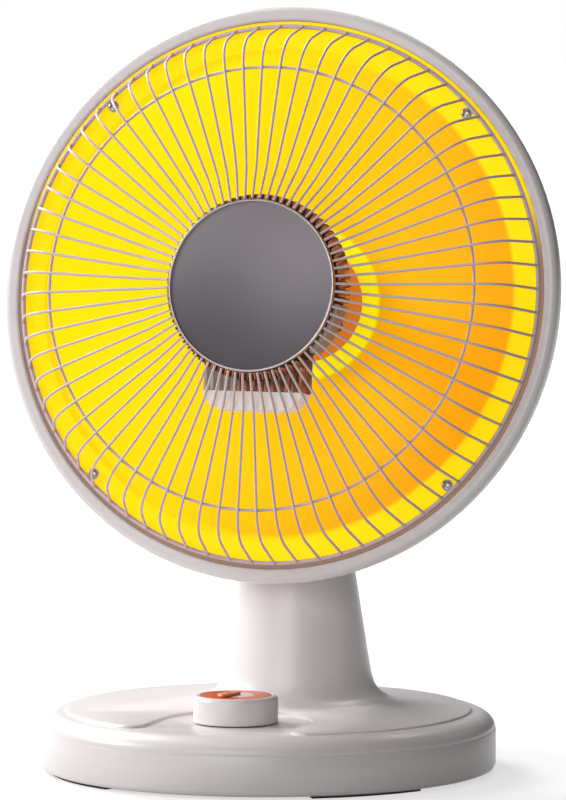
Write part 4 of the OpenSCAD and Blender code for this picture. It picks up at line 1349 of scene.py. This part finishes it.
@dataclass
class HeatingElement(SubAssembly):
    """The element on the dish's axis: collar, stem, drum, folded ribbon, shoe, foot and fins.

    Attributes:
        folds: Number of the ribbon's folds.
        fold_angle: Angle from one fold to the next, in degrees.
        start_angle: Angle of the ribbon's first fold, in degrees.
        drum_radius: Radius on which the ribbon lies.
        fold_height: Height of a fold.
        ribbon_sheet: Thickness of the ribbon.
        ribbon_back: Back edge of the ribbon.
        ribbon_width: Width of the ribbon along the drum.
        fins: Number of fins.
        fin_reach: Distance of the outer fins' middles from the plane through the axis.
        fin_foot: Level on which the fins stand.
        fin_top: Radius of the round above the fins.
        fin_sheet: Thickness of a fin.
        fin_back: Back of the fins.
        fin_depth: Depth of a fin.
    """

    softened: tuple[Softened, ...] = (
        Softened("orange_collar", "element_collar", COLLAR, 0.3 * MM),
        Softened("element_post", "element_stem", CERAMIC, 0.3 * MM),
        Softened("ribbon_drum", "element_drum", FIRED, 0.4 * MM),
        Softened("pale_shoe", "ribbon_shoe", CERAMIC, 0.3 * MM),
        Softened("pale_foot", "element_foot", STAINED, 0.4 * MM),
    )
    packed: tuple[Packed, ...] = ((STEEL, ("element_screws", "element_rod", "heat_shield")),)
    folds: int = 63
    fold_angle: float = 5.0
    start_angle: float = -8.0
    drum_radius: float = 42.55 * MM
    fold_height: float = 3 * MM
    ribbon_sheet: float = 0.8 * MM
    ribbon_back: float = 28 * MM
    ribbon_width: float = 9 * MM
    fins: int = 15
    fin_reach: float = 24.5 * MM
    fin_foot: float = -51.55 * MM
    fin_top: float = 46.65 * MM
    fin_sheet: float = 1.3 * MM
    fin_back: float = 24.5 * MM
    fin_depth: float = 10.5 * MM

    def build(self, shop: Workshop) -> None:
        """Makes the element's pieces.

        Args:
            shop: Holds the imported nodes, the finishes and the trees.
        """
        super().build(shop)
        inner = self.drum_radius + self.ribbon_sheet / 2
        ribbon = {
            "Folds": self.folds,
            "Fold Angle": math.radians(self.fold_angle),
            "Start Angle": math.radians(self.start_angle),
            "Inner Radius": inner,
            "Outer Radius": inner + self.fold_height,
            "Thickness": self.ribbon_sheet,
            "Width": self.ribbon_width,
        }
        level = self.ribbon_back + self.ribbon_width / 2
        shop.grow(Repeat.FOLDED_RIBBON, "folded_ribbon_band", "heating_ribbon", RIBBON, level, 0, ribbon)
        fins = {
            "Count": self.fins,
            "Half Width": self.fin_reach,
            "Foot Level": self.fin_foot,
            "Drum Radius": self.fin_top,
            "Thickness": self.fin_sheet,
            "Depth": self.fin_depth,
        }
        level = self.fin_back + self.fin_depth / 2
        shop.grow(Repeat.FIN_ROW, "foot_fin_row", "foot_fins", FIN, level, 0, fins)


@dataclass
class WireGuard(SubAssembly):
    """The guard: two rings, the fan of bent wires, the eyelets and the screws.

    Attributes:
        count: Number of wires.
        ring_radius: Radius of the outer ring's middle.
        ring_wire: Thickness of the outer ring.
        middle_wire: Thickness of the middle ring.
        wire: Thickness of a wire.
        start: Outer end of a wire, as radius and place along the axis.
        shoulder: First corner of a wire.
        crown: Second corner of a wire.
        end: Inner end of a wire.
        shoulder_bend: Radius of the first corner.
        crown_bend: Radius of the second corner.
        screw: The screw that holds the outer ring.
        screw_radius: Distance of the screws from the axis.
        screw_seat: Level of the screws' seats.
        screw_count: Number of screws.
        screw_turn: Angle of the first screw, in degrees.
        ring_sides: Segments round the outer ring's wire.
        middle_sides: Segments round the middle ring's wire.
        wire_angle: Edges sharper than this stay sharp on wires, in degrees.
        head_angle: Edges sharper than this stay sharp on the screws.
    """

    softened: tuple[Softened, ...] = (Softened("guard_eyelet_plates", "guard_eyelets", WIRE, 0.1 * MM),)
    count: int = 72
    ring_radius: float = 134.5 * MM
    ring_wire: float = 2.2 * MM
    middle_wire: float = 1.5 * MM
    wire: float = 1.4 * MM
    start: Point2 = (134.5 * MM, 1.45 * MM)
    shoulder: Point2 = (124.1 * MM, 30 * MM)
    crown: Point2 = (60 * MM, 39 * MM)
    end: Point2 = (43.45 * MM, 44.9 * MM)
    shoulder_bend: float = 20 * MM
    crown_bend: float = 6 * MM
    screw: ScrewHead = field(default_factory=lambda: ScrewHead(2.4 * MM, 1.6 * MM, 12 * MM))
    screw_radius: float = 130.9 * MM
    screw_seat: float = -0.45 * MM
    screw_count: int = 4
    screw_turn: float = 45.0
    ring_sides: int = 16
    middle_sides: int = 14
    wire_angle: float = 60.0
    head_angle: float = 40.0

    def build(self, shop: Workshop) -> None:
        """Makes the guard's pieces.

        Args:
            shop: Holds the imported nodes, the finishes and the trees.
        """
        corners = {"Start": self.start, "Shoulder": self.shoulder, "Crown": self.crown, "End": self.end}
        fan = {label: (radius, 0.0, level) for label, (radius, level) in corners.items()} | {
            "Count": self.count,
            "First Angle": math.pi / self.count,
            "Shoulder Bend": self.shoulder_bend,
            "Crown Bend": self.crown_bend,
            "Wire Radius": self.wire / 2,
        }
        shop.grow(Repeat.WIRE_FAN, "guard_wire_fan", "guard_wires", WIRE, 0.0, self.wire_angle, fan)
        outer = (self.ring_radius, 0.0)
        self.ring(shop, "guard_ring", "guard_outer_ring", outer, self.ring_wire, self.ring_sides)
        middle = self.packed_middle(shop)
        self.ring(shop, "guard_inner_ring", "guard_middle_ring", middle, self.middle_wire, self.middle_sides)
        super().build(shop)
        item = self.screw.build("guard_screw_item")
        screws = {
            "Item": item,
            "Count": self.screw_count,
            "Radius": self.screw_radius,
            "First Angle": math.radians(self.screw_turn),
        }
        name, node = "guard_screw_heads", "guard_screws"
        shop.grow(Repeat.RING_OF_ITEMS, name, node, STEEL, self.screw_seat, self.head_angle, screws)
        bpy.data.objects.remove(item)

    def ring(self, shop: Workshop, name: str, node: str, middle: Point2, wire: float, steps: int) -> None:
        """Makes a ring of round wire.

        Args:
            shop: Takes the piece.
            name: The piece's name.
            node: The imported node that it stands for.
            middle: Radius and level of the wire's middle.
            wire: Thickness of the wire.
            steps: Segments round the wire.
        """
        section = arc_points(middle, wire / 2, 0, 360, steps)[:-1]
        piece = revolve(name, section, ROUND_STEPS, HEAD.matrix())
        shade(piece.data, self.wire_angle)
        shop.add(piece, WIRE, self.body, node)

    def packed_middle(self, shop: Workshop) -> Point2:
        """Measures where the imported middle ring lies.

        Args:
            shop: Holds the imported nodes.

        Returns:
            The radius and the level of the wire's middle.
        """
        back = HEAD.matrix().inverted()
        points = [back @ v.co for v in shop.nodes["guard_middle_ring"].data.vertices]
        radii = [math.hypot(p.x, p.y) for p in points]
        levels = [p.z for p in points]
        return (min(radii) + max(radii)) / 2, (min(levels) + max(levels)) / 2


@dataclass
class FrontDisc(SubAssembly):
    """The dark disc in the middle of the guard, with its rolled rim and its clips."""

    softened: tuple[Softened, ...] = (
        Softened("dark_plate", "centre_disc", DISC, 0.15 * MM),
        Softened("disc_rolled_rim", "disc_rim", RIM, 0.12 * MM),
    )
    packed: tuple[Packed, ...] = ((STEEL, ("disc_clips",)),)


@dataclass(frozen=True)
class Lamp:
    """A square soft light.

    Attributes:
        name: The light's name.
        place: Where it hangs.
        size: Length of its side.
        power: Its power in watts.
        tone: Its display colour.
    """

    name: str
    place: tuple[float, float, float]
    size: float
    power: float
    tone: Colour = (255, 254, 254)

    def hang(self, aim: Vector) -> None:
        """Makes the light.

        Args:
            aim: The place that it points at.
        """
        data = bpy.data.lights.new(self.name, "AREA")
        data.size = self.size
        data.energy = self.power
        data.color = linear(self.tone)[:3]
        point_at(self.name, data, Vector(self.place), aim)


@dataclass
class Studio:
    """Camera, lights, floor and background.

    Attributes:
        azimuth: Camera's turn to the heater's left, in degrees.
        elevation: Camera's height above the target, in degrees.
        distance: Distance from camera to target.
        lens: Focal length for a sensor of 36 mm on the long side.
        target: Point that the camera is turned and raised about.
        shift_right: Distance of the picture's middle to the right of the target.
        shift_down: Distance of the picture's middle below the target.
        lit_height: Height that the lights point at.
        floor_half: Half the floor's width.
        paint: The floor's colour.
        near: The floor's own light under the heater.
        far: Its own light from the end of the heater's surroundings on.
        reach: Distances from the middle between which it changes.
        fill: Colour of the fill light.
        fill_power: Strength of the fill light.
        lamps: The lights.
    """

    azimuth: float = 17.86
    elevation: float = 4.85
    distance: float = 4.447
    lens: float = 402.7
    target: tuple[float, float, float] = (0.0, 0.0, 0.225)
    shift_right: float = 7.3 * MM
    shift_down: float = 39.7 * MM
    lit_height: float = 0.18
    floor_half: float = 6.0
    paint: Colour = (170, 169, 169)
    near: float = 0.62
    far: float = 1.02
    reach: tuple[float, float] = (0.15, 1.3)
    fill: Colour = (255, 250, 248)
    fill_power: float = 0.012
    lamps: tuple[Lamp, ...] = (
        Lamp("key_left", (-2.5, -0.75, 1.4), 1.2, 54.0),
        Lamp("front_fill", (0.0, -3.0, 1.0), 1.6, 30.0, (255, 252, 252)),
        Lamp("top_front", (-0.4, -0.4, 2.5), 1.0, 6.0),
        Lamp("top_back", (0.2, 1.6, 2.3), 1.0, 14.0),
        Lamp("left_back", (-1.6, 1.2, 1.6), 1.0, 64.0),
    )

    def camera(self) -> None:
        """Makes the camera at the photograph's angle."""
        a, e = math.radians(self.azimuth), math.radians(self.elevation)
        back = Vector((math.sin(a) * math.cos(e), -math.cos(a) * math.cos(e), math.sin(e)))
        data = bpy.data.cameras.new("camera")
        data.lens = self.lens
        data.sensor_width = 36
        data.clip_end = 100
        place = Vector(self.target) + back * self.distance
        right = Vector((math.cos(a), math.sin(a), 0.0))
        up = back.cross(right)
        aim = Vector(self.target) + right * self.shift_right - up * self.shift_down
        bpy.context.scene.camera = point_at("camera", data, place, aim)

    def floor(self) -> None:
        """Makes the pale floor, which shows white to the camera and keeps the shadow."""
        mesh = bpy.data.meshes.new("studio_floor")
        half = self.floor_half
        mesh.from_pydata(
            [(-half, -half, 0.0), (half, -half, 0.0), (half, half, 0.0), (-half, half, 0.0)],
            [],
            [(0, 1, 2, 3)],
        )
        floor = link_mesh("studio_floor", mesh)
        material = bpy.data.materials.new("pale_floor")
        graph = emptied(material)
        paint = graph.out("ShaderNodeBsdfDiffuse", {"Color": linear(self.paint)})
        coordinates = graph.add("ShaderNodeTexCoord").outputs["Object"]
        away = graph.add("ShaderNodeVectorMath", {0: coordinates}, operation="LENGTH").outputs["Value"]
        lift = graph.times(graph.smooth(away, *self.reach), self.far - self.near)
        painted_glow = {"Color": WHITE_LIGHT, "Strength": graph.plus(self.near, lift)}
        both = graph.out("ShaderNodeAddShader", {0: paint, 1: graph.out("ShaderNodeEmission", painted_glow)})
        seen = graph.seen("Is Camera Ray", "Is Glossy Ray", "Is Transmission Ray")
        shown = graph.out("ShaderNodeMixShader", {0: seen, 1: paint, 2: both})
        graph.add("ShaderNodeOutputMaterial", {"Surface": shown})
        mesh.materials.append(material)
        floor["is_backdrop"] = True

    def world(self) -> None:
        """Makes the background: white to the eye, and a plain fill light."""
        world = bpy.data.worlds.new("studio")
        bpy.context.scene.world = world
        graph = emptied(world)
        fill = graph.out("ShaderNodeBackground", {"Color": linear(self.fill), "Strength": self.fill_power})
        white = graph.out("ShaderNodeBackground", {"Color": WHITE_LIGHT, "Strength": 1.0})
        seen = graph.seen("Is Camera Ray", "Is Transmission Ray")
        shown = graph.out("ShaderNodeMixShader", {0: seen, 1: fill, 2: white})
        graph.add("ShaderNodeOutputWorld", {"Surface": shown})

    def build(self) -> None:
        """Makes the whole studio."""
        self.camera()
        self.floor()
        self.world()
        for lamp in self.lamps:
            lamp.hang(Vector((0.0, 0.0, self.lit_height)))
        bpy.context.scene.view_settings.view_transform = "Standard"


def corners() -> list[list[float]]:
    """Gives the shown object's lowest and highest corner as plain numbers."""
    return [[round(v, 6) for v in corner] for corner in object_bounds()]


def main() -> None:
    """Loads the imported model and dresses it."""
    logging.basicConfig(level=logging.INFO, format="%(name)s: %(message)s")
    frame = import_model()
    Studio().build()
    shop = Workshop(frame["nodes"], build_finishes())
    shop.prepare()
    for assembly in (
        BaseUnit(), DialKnob(), HeadHousing(), DishReflector(), HeatingElement(), WireGuard(), FrontDisc()
    ):
        assembly.build(shop)
        LOG.info("%s is dressed", type(assembly).__name__)


if __name__ == "__main__":
    main()
